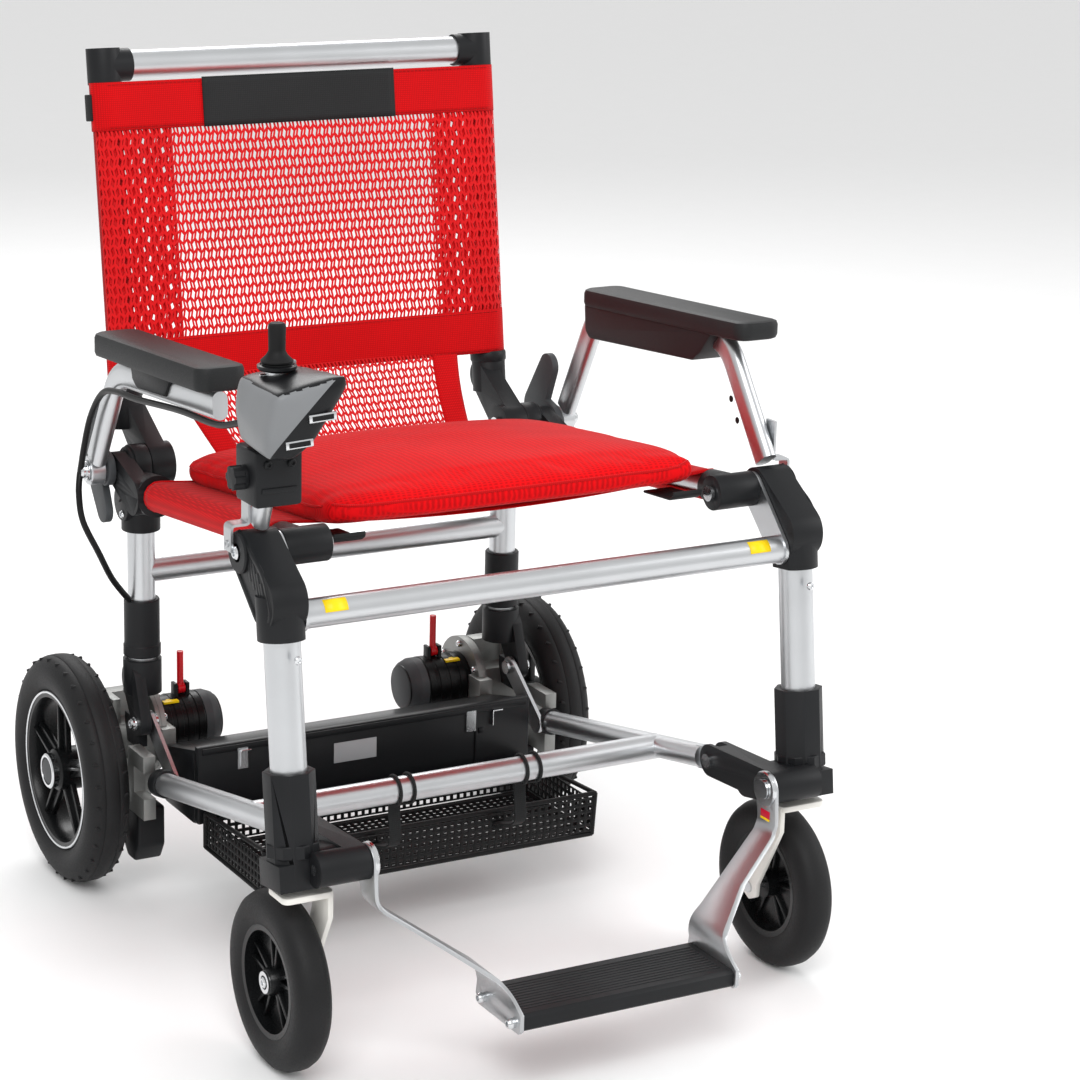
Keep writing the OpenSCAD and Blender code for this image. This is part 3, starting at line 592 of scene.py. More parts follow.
def piece(name, shapes, body, materials, replaces=(), modifiers=(), crease=35.0):
    """Joins shapes into one object in metres that rides on a CAD body."""
    joined = bmesh.new()
    for shape in shapes:
        part = bpy.data.meshes.new("part")
        shape.to_mesh(part)
        shape.free()
        joined.from_mesh(part)
        bpy.data.meshes.remove(part)
    bmesh.ops.scale(joined, vec=(MM, MM, MM), verts=joined.verts[:])
    mesh = bpy.data.meshes.new(name)
    joined.to_mesh(mesh)
    joined.free()
    for material in materials:
        mesh.materials.append(material)
    mesh.polygons.foreach_set("use_smooth", [True] * len(mesh.polygons))
    mesh.set_sharp_from_angle(angle=math.radians(crease))
    made = bpy.data.objects.new(name, mesh)
    bpy.context.scene.collection.objects.link(made)
    for kind, settings in modifiers:
        modifier = made.modifiers.new(kind.title(), kind)
        for key, value in settings.items():
            setattr(modifier, key, value)
    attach(made, body)
    if replaces:
        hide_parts(*replaces)
    return made


SMOOTH_ONCE = ("SUBSURF", {"levels": 1, "render_levels": 1})


def thick(amount_mm, offset=0.0):
    return ("SOLIDIFY", {"thickness": amount_mm * MM, "offset": offset, "use_even_offset": True})


# ---- seat --------------------------------------------------------------------
def cushion_point(co):
    """A unit cube's point on the crowned, boxed cushion."""
    u, v, w = co
    half_x, half_y, half_z = 216.0, 180.0, 16.5
    edge = (1 - abs(u) ** 6) * (1 - abs(v) ** 6)
    crown = sizes().crown / MM * (1 - u * u) * (1 - v * v) if w > 0 else 0.0
    waist = 1 - 0.012 * (1 - v * v) * abs(u)
    corner = 1 - 0.05 * abs(u) ** 4 * abs(v) ** 8
    bulge = 3.5 * (1 - w * w)
    x = half_x * u * waist * corner + bulge * math.copysign(abs(u) ** 10, u)
    y = half_y * v * corner + bulge * math.copysign(abs(v) ** 10, v)
    z = w * half_z * (0.68 + 0.32 * edge) + crown * max(w, 0)
    if w > 0.9:
        z -= 3.2 * math.exp(-((v + 0.87) / 0.035) ** 2)
        z += 1.6 * noise.noise(Vector((u * 2.2, v * 3.4, 0.3))) * edge
    return on_seat(x, 184 + y, 22.6 + z)


class WHEELCHAIR_OT_seat_cushion(bpy.types.Operator):
    """Makes the crowned seat cushion with its piping and front crease"""
    bl_idname = "wheelchair.seat_cushion"
    bl_label = "Seat Cushion"

    def execute(self, context):
        body = bmesh.new()
        bmesh.ops.create_cube(body, size=2.0)
        bmesh.ops.subdivide_edges(body, edges=body.edges[:], cuts=38, use_grid_fill=True)
        mapped(body, cushion_point)
        bmesh.ops.recalc_face_normals(body, faces=body.faces[:])
        body = inflated(body, 5.0, 6.0)
        skin = BVHTree.FromBMesh(body)
        seam = []
        for k in range(121):
            angle = math.tau * k / 120
            c, s = math.cos(angle), math.sin(angle)
            reach = 1 / max(abs(c), abs(s), 1e-6)
            square = min(reach, 1.32)
            u, v = max(-1, min(1, c * square * 1.0)), max(-1, min(1, s * square))
            seam.append(skin.find_nearest(cushion_point((u, v, 0.62)))[0])
        welt = sweep(seam, round_section(1.5), sides=6, across=Vector((0, 0, 1)))
        cushion = piece("seat_cushion_cover", [body], "seat_frame", [seat_polyester()],
                        replaces=["seat_cushion"], modifiers=[SMOOTH_ONCE], crease=180)
        piece("seat_cushion_welt", [welt], "seat_frame", [band_polyester()])
        return {"FINISHED"}


def sling_curve(s, half, radius, sag):
    """Across and up at arc length s of a sheet held by two rods: level between them, then round each."""
    if abs(s) <= half:
        return s, radius - sag * (1 - (s / half) ** 2)
    angle = math.pi / 2 - (abs(s) - half) / radius
    return math.copysign(half + radius * math.cos(angle), s), radius * math.sin(angle)


class WHEELCHAIR_OT_seat_sling(bpy.types.Operator):
    """Makes the sling that is stretched between the seat rails, with its straps"""
    bl_idname = "wheelchair.seat_sling"
    bl_label = "Seat Sling"

    def execute(self, context):
        wrap, radius, front, rear = 66.0, 15.4, 42.0, 348.0
        width = 2 * (RAIL_X + wrap)
        sheet = bmesh.new()
        bmesh.ops.create_grid(sheet, x_segments=90, y_segments=24, size=1.0)

        def place(co):
            x, up = sling_curve(co.x * (RAIL_X + wrap), RAIL_X, radius, 13.0)
            return on_seat(x, front + (rear - front) * (co.y + 1) / 2, up)

        mapped(sheet, place)
        sling = piece("seat_sling_sheet", [sheet], "seat_frame", [band_polyester()],
                      replaces=["seat_sling"], modifiers=[thick(1.4, 0.0)], crease=180)
        hems = []
        for along in (front + 3, rear - 3):
            path = [on_seat(*[(x, along, up + 0.6) for x, up in [sling_curve(s, RAIL_X, radius, 13.0)]][0])
                    for s in [width / 2 * (k / 40 - 1) for k in range(81)]]
            hems.append(sweep(path, round_section(1.6), sides=6, across=Vector((0, 1, 0))))
        piece("seat_sling_hems", hems, "seat_frame", [band_polyester()])
        straps = []
        for side in (-1, 1):
            x = side * 190
            path = rounded([on_seat(x, 60, -1.5), on_seat(x, 10, -3), on_seat(x, 2, 1), on_seat(x, 3, 5)],
                           2.5)
            straps.append(sweep(path, oval_section(3, 34), sides=16))
        piece("seat_under_straps", straps, "seat_frame", [black_webbing()])
        return {"FINISHED"}


# ---- backrest ----------------------------------------------------------------
BACK_RADIUS = 17.2
BAND_TOP = (343.0, 394.0)
BAND_LOW = (71.0, 120.0)
NET_HALF = 158.0
SLEEVE_ARC = 250.0


def back_point(s, along, out=0.0):
    """A point at arc length s across the backrest's front face; out lifts it forwards."""
    x, front = sling_curve(s, POST_X, BACK_RADIUS + out, sizes().sag / MM)
    return on_back(x, -front, along)


def back_sheet(s0, s1, along0, along1, columns, rows, out=0.0):
    bm = bmesh.new()
    bmesh.ops.create_grid(bm, x_segments=columns, y_segments=rows, size=1.0)
    return mapped(bm, lambda co: back_point(s0 + (s1 - s0) * (co.x + 1) / 2,
                                            along0 + (along1 - along0) * (co.y + 1) / 2, out))


def openwork(width, height, pitch, row_height, strand, place, lean=0.45):
    """A net of upright openings between zig-zag strands; place puts its flat points."""
    columns, rows = max(2, round(width / pitch)), max(2, round(height / row_height))
    bm = bmesh.new()
    bmesh.ops.create_grid(bm, x_segments=columns, y_segments=rows, size=1.0)
    for v in bm.verts:
        level = round((v.co.y + 1) / 2 * rows)
        inside = abs(v.co.x) < 0.999
        column = round((v.co.x + 1) / 2 * columns)
        drop = row_height * 0.27 * (1 if column % 2 else -1) if lean and 0 < level < rows else 0.0
        v.co.x = v.co.x * width / 2 + (pitch * lean * (0.5 if level % 2 else -0.5) if inside else 0.0)
        v.co.y = v.co.y * height / 2 + drop
    cells = bm.faces[:]
    bmesh.ops.inset_individual(bm, faces=cells, thickness=strand, depth=0.0, use_even_offset=True)
    bmesh.ops.delete(bm, geom=cells, context="FACES")
    return mapped(bm, place)


class WHEELCHAIR_OT_back_bands(bpy.types.Operator):
    """Makes the solid bands and post sleeves of the backrest, with stitching"""
    bl_idname = "wheelchair.back_bands"
    bl_label = "Backrest Bands"

    def execute(self, context):
        for name, (low, high) in (("back_top_band", BAND_TOP), ("back_low_band", BAND_LOW)):
            band = piece(name, [back_sheet(-SLEEVE_ARC, SLEEVE_ARC, low, high, 120, 8, 0.8)], "backrest",
                         [band_polyester()], modifiers=[thick(1.4)], crease=180,
                         replaces=["back_fabric"] if name == "back_top_band" else ())
        sleeves = []
        for side in (-1, 1):
            path = [on_back(side * POST_X, 0, BAND_LOW[0] + k * (BAND_TOP[1] - BAND_LOW[0]) / 30)
                    for k in range(31)]
            sleeves.append(sweep(path, round_section(15.6), sides=28))
        # The post sleeves take the knit with painted shade, darker than the bands.
        piece("back_post_sleeves", sleeves, "backrest", [painted_shade_polyester()])
        stitches = []
        for low, high in (BAND_TOP, BAND_LOW):
            for along in (low + 3, high - 3):
                for k in range(96):
                    s = -SLEEVE_ARC + 22 + (2 * SLEEVE_ARC - 44) * (k + 0.5) / 96
                    ends = [back_point(s + step, along, 1.9) for step in (-1.6, 1.6)]
                    stitches.append(sweep(ends, round_section(0.45), sides=5, across=Vector((0, 0, 1))))
        # The stitches take the knit with painted shade, darker than the bands.
        piece("back_band_stitching", stitches, "backrest", [painted_shade_polyester()])
        return {"FINISHED"}


class WHEELCHAIR_OT_back_net(bpy.types.Operator):
    """Makes the see-through net of the backrest and the doubled net at its sides"""
    bl_idname = "wheelchair.back_net"
    bl_label = "Backrest Net"

    def execute(self, context):
        low, high = BAND_LOW[1] - 3, BAND_TOP[0] + 3
        middle, height, pitch = (low + high) / 2, high - low, sizes().net_pitch / MM
        net = openwork(2 * NET_HALF, height, pitch, 10.6, 1.05,
                       lambda co: back_point(co.x, middle + co.y, 0.2))
        panel = piece("back_net_panel", [net], "backrest", [net_polyester()],
                      modifiers=[thick(0.7)], crease=180)
        width = SLEEVE_ARC - 4 - NET_HALF
        for tag, side in SIDES:
            centre = side * (NET_HALF + width / 2 - 2)
            outer = openwork(width, height, pitch, 10.6, 1.15,
                             lambda co, c=centre: back_point(c + co.x, middle + co.y, 0.7))
            double = piece(f"back_net_side_{tag}", [outer], "backrest", [net_polyester()],
                           modifiers=[thick(0.7)], crease=180)
            inner = openwork(width, height, pitch * 1.6, 10.6, 2.6,
                             lambda co, c=centre: back_point(c + co.x, middle + co.y, -1.4))
            lining = piece(f"back_net_lining_{tag}", [inner], "backrest", [net_polyester()],
                           modifiers=[thick(0.6)], crease=180)
        return {"FINISHED"}


class WHEELCHAIR_OT_back_flap(bpy.types.Operator):
    """Makes the net flap that hangs from the backrest to the seat, with solid edges"""
    bl_idname = "wheelchair.back_flap"
    bl_label = "Backrest Flap"

    def execute(self, context):
        top = on_back(0, -BACK_RADIUS + 4, BAND_LOW[0] + 6)
        foot = Vector((0, REAR_HINGE.y - 19, REAR_HINGE.z + 9))
        drop = foot - top

        def place(co, half=1.0):
            down = (0.5 - co.y / drop.length)
            narrow = 1 - 0.13 * down
            sag = 5.0 * math.sin(math.pi * down)
            return Vector((co.x * narrow, 0, 0)) + top + drop * down + Vector((0, sag, 0))

        pitch = sizes().net_pitch / MM
        net = openwork(300, drop.length, pitch, 10.6, 1.05, place)
        panel = piece("back_flap_net", [net], "backrest", [net_polyester()],
                      modifiers=[thick(0.7)], crease=180)
        edges = []
        for side in (-1, 1):
            strip = bmesh.new()
            bmesh.ops.create_grid(strip, x_segments=6, y_segments=20, size=1.0)
            edges.append(mapped(strip, lambda co, s=side: place(Vector((s * 160 + co.x * 16,
                                                                        co.y * drop.length / 2, 0)))))
        strips = piece("back_flap_edges", edges, "backrest", [band_polyester()],
                       modifiers=[thick(1.2)], crease=180)
        return {"FINISHED"}


class WHEELCHAIR_OT_back_patch(bpy.types.Operator):
    """Makes the plain black patch that is folded round the top band, and the side tab"""
    bl_idname = "wheelchair.back_patch"
    bl_label = "Backrest Patch"

    def execute(self, context):
        low, high = BAND_TOP
        patch = piece("back_patch_cloth", [back_sheet(-118, 112, low - 0.5, high + 1.5, 30, 8, 2.4)],
                      "backrest",
                      [black_webbing()], replaces=["back_patch"], modifiers=[thick(1.0)],
                      crease=180)
        tab = block((-POST_X - 21, -6, high - 40), (-POST_X - 17, 8, high - 12), 1.2)
        mapped(tab, lambda co: on_back(co.x, co.y, co.z))
        piece("back_side_tab", [tab], "backrest", [black_webbing()])
        return {"FINISHED"}


# ---- armrests ----------------------------------------------------------------
def arm_path(points):
    return rounded([Vector((ARM_X, y, z)) for y, z in points], 32)


HINGE_YZ = (REAR_HINGE.y, REAR_HINGE.z)
SEAT_YZ = (SEAT_HINGE.y, SEAT_HINGE.z)
ARM_L = ((HINGE_YZ[0] - 8, HINGE_YZ[1] + 15), (HINGE_YZ[0] - 72, ARM_TOP - 26),
         (SEAT_YZ[0] + 87, ARM_TOP - 5), (SEAT_YZ[0] + 5, SEAT_YZ[1] + 26))
ARM_R = ((HINGE_YZ[0] - 8, HINGE_YZ[1] + 15), (HINGE_YZ[0] - 72, ARM_TOP - 44), (SEAT_YZ[0] + 90,
ARM_TOP - 25))


class WHEELCHAIR_OT_arm_tubes(bpy.types.Operator):
    """Makes the bent flat-oval armrest tubes with their hinge bosses, and adjusting holes drawn as black
    discs of painted shade
    """
    bl_idname = "wheelchair.arm_tubes"
    bl_label = "Armrest Tubes"

    def execute(self, context):
        for (tag, side), points in zip(SIDES, (ARM_L, ARM_R)):
            shapes = [sweep(arm_path(points), oval_section(28, 16), sides=28)]
            ring = [(15.5, -7), (15.5, 7), (14.5, 8), (6.3, 8), (6.3, -8), (14.5, -8)]
            shapes.append(lathe(ring, (ARM_X, *HINGE_YZ), steps=40))
            if tag == "r":
                post = [Vector((ARM_X, SEAT_YZ[0] + 2, SEAT_YZ[1] + 26)),
                        Vector((ARM_X, SEAT_YZ[0] - 25, SEAT_YZ[1] + 95))]
                shapes.append(sweep(post, oval_section(24, 16), sides=28))
            else:
                for y, z in ((SEAT_YZ[0] + 62, SEAT_YZ[1] + 79), (SEAT_YZ[0] + 49, SEAT_YZ[1] + 59)):
                    # Adjusting holes: each is a deep black disc on the tube's inner face, painted shade in
                    # place of an opening.
                    hole_shade_disc = [(0, -8.25), (3.2, -8.25), (3.6, -8.0), (3.2, -7.4), (0, -7.4)]
                    shapes.append(painted(lathe(hole_shade_disc, (ARM_X, y, z), steps=20, closed=False), 1))
            piece(f"armrest_tube_{tag}", [mirrored(s, side) for s in shapes], f"armrest_{tag}",
                  [anodised_aluminium(), gaiter_rubber()], replaces=[f"arm_tube_{tag}"])
        return {"FINISHED"}


def pad_top(y0, y1, z0, z1, depth, inner, outer):
    """The pad's slab: round-nosed in plan, sloping from z0 in front to z1 behind."""
    slab = prism(round_rect((ARM_X - inner, y0), (ARM_X + outer, y1), 15.0, 8), -depth, 0, 5.0, upright=True)
    return mapped(slab, lambda co: co + Vector((0, 0, z0 + (z1 - z0) * (co.y - y0) / (y1 - y0))))


class WHEELCHAIR_OT_arm_pads(bpy.types.Operator):
    """Makes the two foam armrest pads, deep on the left and thin on the right"""
    bl_idname = "wheelchair.arm_pads"
    bl_label = "Armrest Pads"

    def execute(self, context):
        y, rear = SEAT_YZ[0], HINGE_YZ[0] - 67
        body = [(rear - 5, ARM_TOP - 16), (rear - 8, ARM_TOP - 46), (rear - 17, ARM_TOP - 54),
                (y + 122, ARM_TOP - 36), (y + 106, ARM_TOP - 24), (y + 88, ARM_TOP - 2), (y + 84,
                ARM_TOP + 4)]
        deep = prism(body, ARM_X - 20, ARM_X + 20, 6.0)
        left = piece("armrest_pad_l", [pad_top(y + 27, rear, ARM_TOP + 22, ARM_TOP, 20, 23, 29), deep],
                     "armrest_l", [foam_skin()], replaces=["arm_pad_l"])
        carrier = [(rear - 60, ARM_TOP - 20), (rear - 66, ARM_TOP - 40), (rear - 78, ARM_TOP - 46),
                   (rear - 150, ARM_TOP - 40), (rear - 168, ARM_TOP - 14)]
        slab = pad_top(y + 74, rear, ARM_TOP + 17, ARM_TOP - 1, 25, 23, 29)
        right = piece("armrest_pad_r", [mirrored(slab, -1)], "armrest_r", [foam_skin()],
                      replaces=["arm_pad_r"])
        shapes = [prism(carrier, ARM_X - 12, ARM_X + 12, 5.0)]
        lever = rounded([Vector((ARM_X - 2, 62, ARM_TOP - 34)), Vector((ARM_X - 2, 40, ARM_TOP - 46)),
                         Vector((ARM_X - 2, 26, ARM_TOP - 43))], 6)
        shapes.append(sweep(lever, oval_section(9, 14), sides=16))
        shapes.append(painted(block((ARM_X - 7, 40, ARM_TOP - 49), (ARM_X + 3, 50, ARM_TOP - 41), 1.5), 1))
        piece("armrest_pad_carrier", [mirrored(s, -1) for s in shapes], "armrest_r",
              [nylon_black(), lever_plastic()])
        return {"FINISHED"}


class WHEELCHAIR_OT_arm_latches(bpy.types.Operator):
    """Makes the bent strap latches at the front of the armrests"""
    bl_idname = "wheelchair.arm_latches"
    bl_label = "Armrest Latches"

    def execute(self, context):
        for tag, side in SIDES:
            low, high = node_box(f"arm_latch_{tag}")
            inner, outer = ARM_X + 9.5, ARM_X + 27.5
            y = (low.y + high.y) / 2
            path = rounded([Vector((inner, y, high.z)), Vector((inner, y, low.z + 25.5)),
                            Vector((outer, y, low.z + 25.5)), Vector((outer, y, low.z))], 4)
            strap = sweep(path, lambda co: Vector((math.copysign(8, co.x) if abs(co.x) > 0.3 else co.x * 26,
                                                   co.y * 1.5, 0)), sides=12, across=Vector((0, 1, 0)))
            bolt = hex_bolt((outer + 1.2, y, low.z + 7), (1, 0, 0), 7, 2.0)
            piece(f"armrest_latch_{tag}", [mirrored(strap, side), mirrored(bolt, side)], f"armrest_{tag}",
                  [brushed_strap()], replaces=[f"arm_latch_{tag}"])
        return {"FINISHED"}


# ---- controller --------------------------------------------------------------
class WHEELCHAIR_OT_control_pod(bpy.types.Operator):
    """Makes the joystick pod: a black shell with a grey side, slots and clamp"""
    bl_idname = "wheelchair.control_pod"
    bl_label = "Control Pod"

    def execute(self, context):
        base, y = ARM_TOP - 36, SEAT_YZ[0]
        corners = [(-326, -106, 24), (-320, -112, 67), (-250, -117, 82), (-247, -112, 70), (-280, -111, 20),
                   (-300, -105, 2), (-323, -99, 3), (-325, -30, 40), (-318, -20, 68), (-257, -19, 74),
                   (-257, -19, 46), (-273, -11, 2), (-312, -11, 2)]
        shell = bmesh.new()
        for x, dy, dz in corners:
            shell.verts.new((x, y + dy, base + dz))
        made = bmesh.ops.convex_hull(shell, input=shell.verts[:])
        bmesh.ops.delete(shell, geom=[g for g in made["geom_unused"] + made["geom_interior"]
                                      if isinstance(g, bmesh.types.BMVert)], context="VERTS")
        shell = remeshed(shell, 2.5, 40)
        seam, seam_normal = Vector((-293, y - 108, base + 42)), (-0.6, 0.527, 0.603)
        bmesh.ops.bisect_plane(shell, geom=shell.verts[:] + shell.edges[:] + shell.faces[:],
                               plane_co=seam, plane_no=seam_normal)
        for face in shell.faces:
            side = (face.calc_center_median() - seam).dot(seam_normal)
            face.material_index = 1 if side > 0 and face.normal.z < 0.75 else 0
        well = [(0, -2.5), (16.5, -2.5), (18.2, -0.8), (18.2, 1.8), (15.8, 2.6), (15.0, 1.0), (0, 1.0)]
        collar = moved(lathe(well, (0, 0, 0), steps=48, closed=False),
                       Matrix.Translation((STICK_PIVOT.x, STICK_PIVOT.y, base + 78)) @
                       Matrix.Rotation(-math.pi / 2, 4, "Y"))
        shapes = [shell, collar]
        front = [(-276, -113.6, 40), (-296, -107.5, 16)]
        for x, dy, dz in front:
            frame_bar = sweep(rounded([Vector((x - 13, y + dy, base + dz + 3)), Vector((x + 13, y + dy - 2,
                                      base + dz + 5))], 2), oval_section(8, 3.2), sides=14,
                              across=Vector((0, 1, 0)))
            shapes.append(painted(frame_bar, 2))
            # The opening of each of the pod's slots is a deep black rod: painted shade in place of a cut.
            slot_shade_fill = sweep([Vector((x - 10, y + dy - 1.2, base + dz + 3.2)), Vector((x + 10, y + dy - 3,
                         base + dz + 4.8))], oval_section(5, 2.6), sides=14, across=Vector((0, 1, 0)))
            shapes.append(painted(slot_shade_fill, 3))
        piece("control_pod_shell", shapes, "armrest_r",
              [abs_black(), abs_grey(), zinc_plate(), gaiter_rubber()], replaces=["pod"])
        low, high = node_box("clamp_block")
        clamp = [block(low, high, 4.0), block((low.x + 6, low.y - 1.5, low.z + 14),
                                              (high.x - 6, low.y + 1, low.z + 19), 0.8)]
        clamp.append(hex_bolt((low.x + 12, low.y - 0.2, high.z - 12), (0, -1, 0), 8, 3))
        clamp.append(hex_bolt((high.x - 12, low.y - 0.2, high.z - 12), (0, -1, 0), 8, 3))
        piece("control_pod_clamp", clamp, "armrest_r", [nylon_black()],
              replaces=["clamp_block"])
        return {"FINISHED"}


class WHEELCHAIR_OT_joystick(bpy.types.Operator):
    """Makes the joystick: pleated gaiter, stem and grip"""
    bl_idname = "wheelchair.joystick"
    bl_label = "Joystick"

    def execute(self, context):
        pleats = [(0, 6.5), (13.6, 6.5), (14.3, 7.6), (12.8, 8.7), (14.7, 9.8), (13.2, 10.9), (15.0, 12.0),
                  (15.2, 13.2), (12.8, 15.4), (10.0, 18.2), (8.1, 21.5)]
        grip = [(8.1, 21.5), (7.9, 23.5), (8.0, 34), (8.3, 43.5), (7.9, 46.2), (6.2, 47.6), (0, 48)]
        turn = Matrix.Translation(STICK_PIVOT) @ Matrix.Rotation(-math.pi / 2, 4, "Y")
        stem = lathe([(0, 7), *pleats[1:], *grip[1:]], (0, 0, 0), steps=48, closed=False)
        piece("joystick_grip", [moved(stem, turn)], "stick", [gaiter_rubber()],
              replaces=["joystick"])
        return {"FINISHED"}


class WHEELCHAIR_OT_control_cable(bpy.types.Operator):
    """Makes the control cable: along the right armrest, then down into the leg"""
    bl_idname = "wheelchair.control_cable"
    bl_label = "Control Cable"

    def execute(self, context):
        x, (y, z), front, pod = -POST_X - 78, HINGE_YZ, SEAT_YZ[0], ARM_TOP - 36
        upper = [(x, y, z - 3), (x, y - 14, z + 32), (x, y - 34, z + 68), (x, y - 66, z + 98),
                 (x, y - 104, z + 108), (x, y - 160, z + 112), (x, front + 150, z + 124), (x, front + 60,
                 z + 130),
                 (x + 2, front + 8, pod + 14), (x + 4, front - 14, pod + 14)]
        lower = [(x, y, z - 1), (x - 4, y - 6, z - 22), (x - 1, y - 9, z - 52), (x + 18, y - 4, z - 90),
                 (x + 38, y + 8, z - 125), (x + 61, y + 18, z - 154)]
        for name, points, body, node_name in (("control_cable_upper", upper, "armrest_r", "cable_upper"),
                                              ("control_cable_lower", lower, "rear_frame", "cable_lower")):
            path = smoothed([Vector(p) for p in points], 8)
            piece(name, [sweep(path, round_section(3.4), sides=12)], body, [cable_sheath()],
                  replaces=[node_name])
        return {"FINISHED"}


# ---- wheels ------------------------------------------------------------------
class WHEELCHAIR_OT_drive_wheels(bpy.types.Operator):
    """Makes the two drive wheels: treaded tyre, five-spoke rim and hub cap"""
    bl_idname = "wheelchair.drive_wheels"
    bl_label = "Drive Wheels"

    def execute(self, context):
        tyre = [(88, -17), (92, -20.5), (98, -23.4), (106, -24.4), (113, -23.4), (119, -20.2), (123.6, -15.2),
                (126, -9.5), (125.4, -8.2), (126.6, -7), (127, 0), (126.6, 7), (125.4, 8.2), (126, 9.5),
                (123.6, 15.2), (119, 20.2), (113, 23.4), (106, 24.4), (98, 23.4), (92, 20.5), (88, 17), (85,
                4),
                (85, -4)]
        rim = [(80, -17), (87.5, -19), (89, -17.6), (86, -4), (86, 4), (89, 17.6), (87.5, 19), (81, 18.6),
               (79, 15), (77.5, 0)]
        hub = [(0, 21), (19, 21), (23, 18), (24, 6), (24, -22), (6.1, -22), (6.1, 18), (0, 18)]
        cap_ring = [(19.5, 20.5), (19.5, 27.2), (18, 28.5), (15.5, 28.5), (15, 26), (15, 20.5)]
        cap = [(0, 20.5), (15.2, 20.5), (15.2, 26.5), (13.5, 28), (0, 28.6)]
        line = [(85.4, 18.6), (87.6, 18.6), (87.9, 19.5), (87.3, 20), (85.8, 20), (85.2, 19.4)]
        for tag, side in SIDES:
            centre = wheel_centre("tyre_l")
            lugs = []
            for k in range(32):
                for wall in (-1, 1):
                    lug = block((-5.5, -1.5, 120.0), (5.5, 1.5, 124.6), 0.7)
                    turn = Matrix.Rotation(math.tau * (k + 0.25 * wall) / 32, 4, "X")
                    place = Matrix.Translation((wall * 13.0, 0, 0)) @ Matrix.Rotation(wall * 0.45, 4, "Z")
                    lugs.append(moved(lug, Matrix.Translation(centre) @ turn @ place))
            piece(f"drive_tyre_{tag}", [mirrored(s, side) for s in [lathe(tyre, centre, 96), *lugs]],
                  f"drive_wheel_{tag}", [tyre_rubber()], replaces=[f"tyre_{tag}"], crease=50)
            spokes = []
            for k in range(5):
                arm = prism([(-10, 20), (-7.5, 82), (7.5, 82), (10, 20)], 2, 9, 1.5)
                rib = prism([(-2.4, 18), (-1.6, 80), (1.6, 80), (2.4, 18)], 8, 14.5, 1.2)
                turn = Matrix.Translation(centre) @ Matrix.Rotation(math.tau * k / 5, 4, "X")
                spokes += [moved(arm, turn), moved(rib, turn)]
            shapes = [lathe(rim, centre, 96), lathe(hub, centre, 64, closed=False), *spokes,
                      painted(lathe(cap_ring, centre, 64), 1), painted(lathe(cap, centre, 48, closed=False),
                                                                       2),
                      painted(lathe(line, centre, 96), 1)]
            piece(f"drive_rim_{tag}", [mirrored(s, side) for s in shapes], f"drive_wheel_{tag}",
                  [rim_plastic(), zinc_plate(), nylon_grey()], replaces=[f"rim_{tag}"])
        return {"FINISHED"}


class WHEELCHAIR_OT_caster_wheels(bpy.types.Operator):
    """Makes the two caster wheels: smooth tyre, ten-rib rim and bearing"""
    bl_idname = "wheelchair.caster_wheels"
    bl_label = "Caster Wheels"

    def execute(self, context):
        tyre = [(56, -14.5), (60, -16.5), (66, -18.2), (74, -18.3), (81, -16.4), (86, -12), (88.6, -6), (89,
        0),
                (88.6, 6), (86, 12), (81, 16.4), (74, 18.3), (66, 18.2), (60, 16.5), (56, 14.5), (54.4, 0)]
        rim = [(50, -14), (56, -15), (57, -14), (55, 0), (57, 14), (56, 15), (50.5, 14.5), (49, 0)]
        hub = [(0, 15), (12, 15), (14, 12), (14, -16), (4.1, -16), (4.1, 12), (0, 12)]
        bearing = [(11, 14.5), (11, 17.2), (9, 17.8), (7, 17.2), (7, 14.5)]
        for tag, side in SIDES:
            centre = wheel_centre("caster_tyre_l")
            piece(f"caster_tyre_smooth_{tag}", [mirrored(lathe(tyre, centre, 96), side)], f"caster_{tag}",
                  [tyre_rubber()], replaces=[f"caster_tyre_{tag}"], crease=50)
            ribs = []
            for k in range(5):
                for lean in (-1, 1):
                    rib = prism([(-2.2, 11), (-1.6, 50), (1.6, 50), (2.2, 11)], -5, 7, 1.0)
                    turn = Matrix.Rotation(math.tau * k / 5 + lean * 0.17, 4, "X")
                    ribs.append(moved(rib, Matrix.Translation(centre) @ turn))
            web = prism(round_rect((-50, -50), (50, 50), 49.9, 16), -1.5, 1.5)
            moved(web, Matrix.Translation(centre))
            nut = hex_bolt(centre + Vector((15.5, 0, 0)), (1, 0, 0), 11, 3.5)
            shapes = [lathe(rim, centre, 96), lathe(hub, centre, 48, closed=False), *ribs, web,
                      painted(lathe(bearing, centre, 48), 1), painted(nut, 1)]
            piece(f"caster_rim_spoked_{tag}", [mirrored(s, side) for s in shapes], f"caster_{tag}",
                  [rim_plastic(), zinc_plate()], replaces=[f"caster_rim_{tag}"])
        return {"FINISHED"}


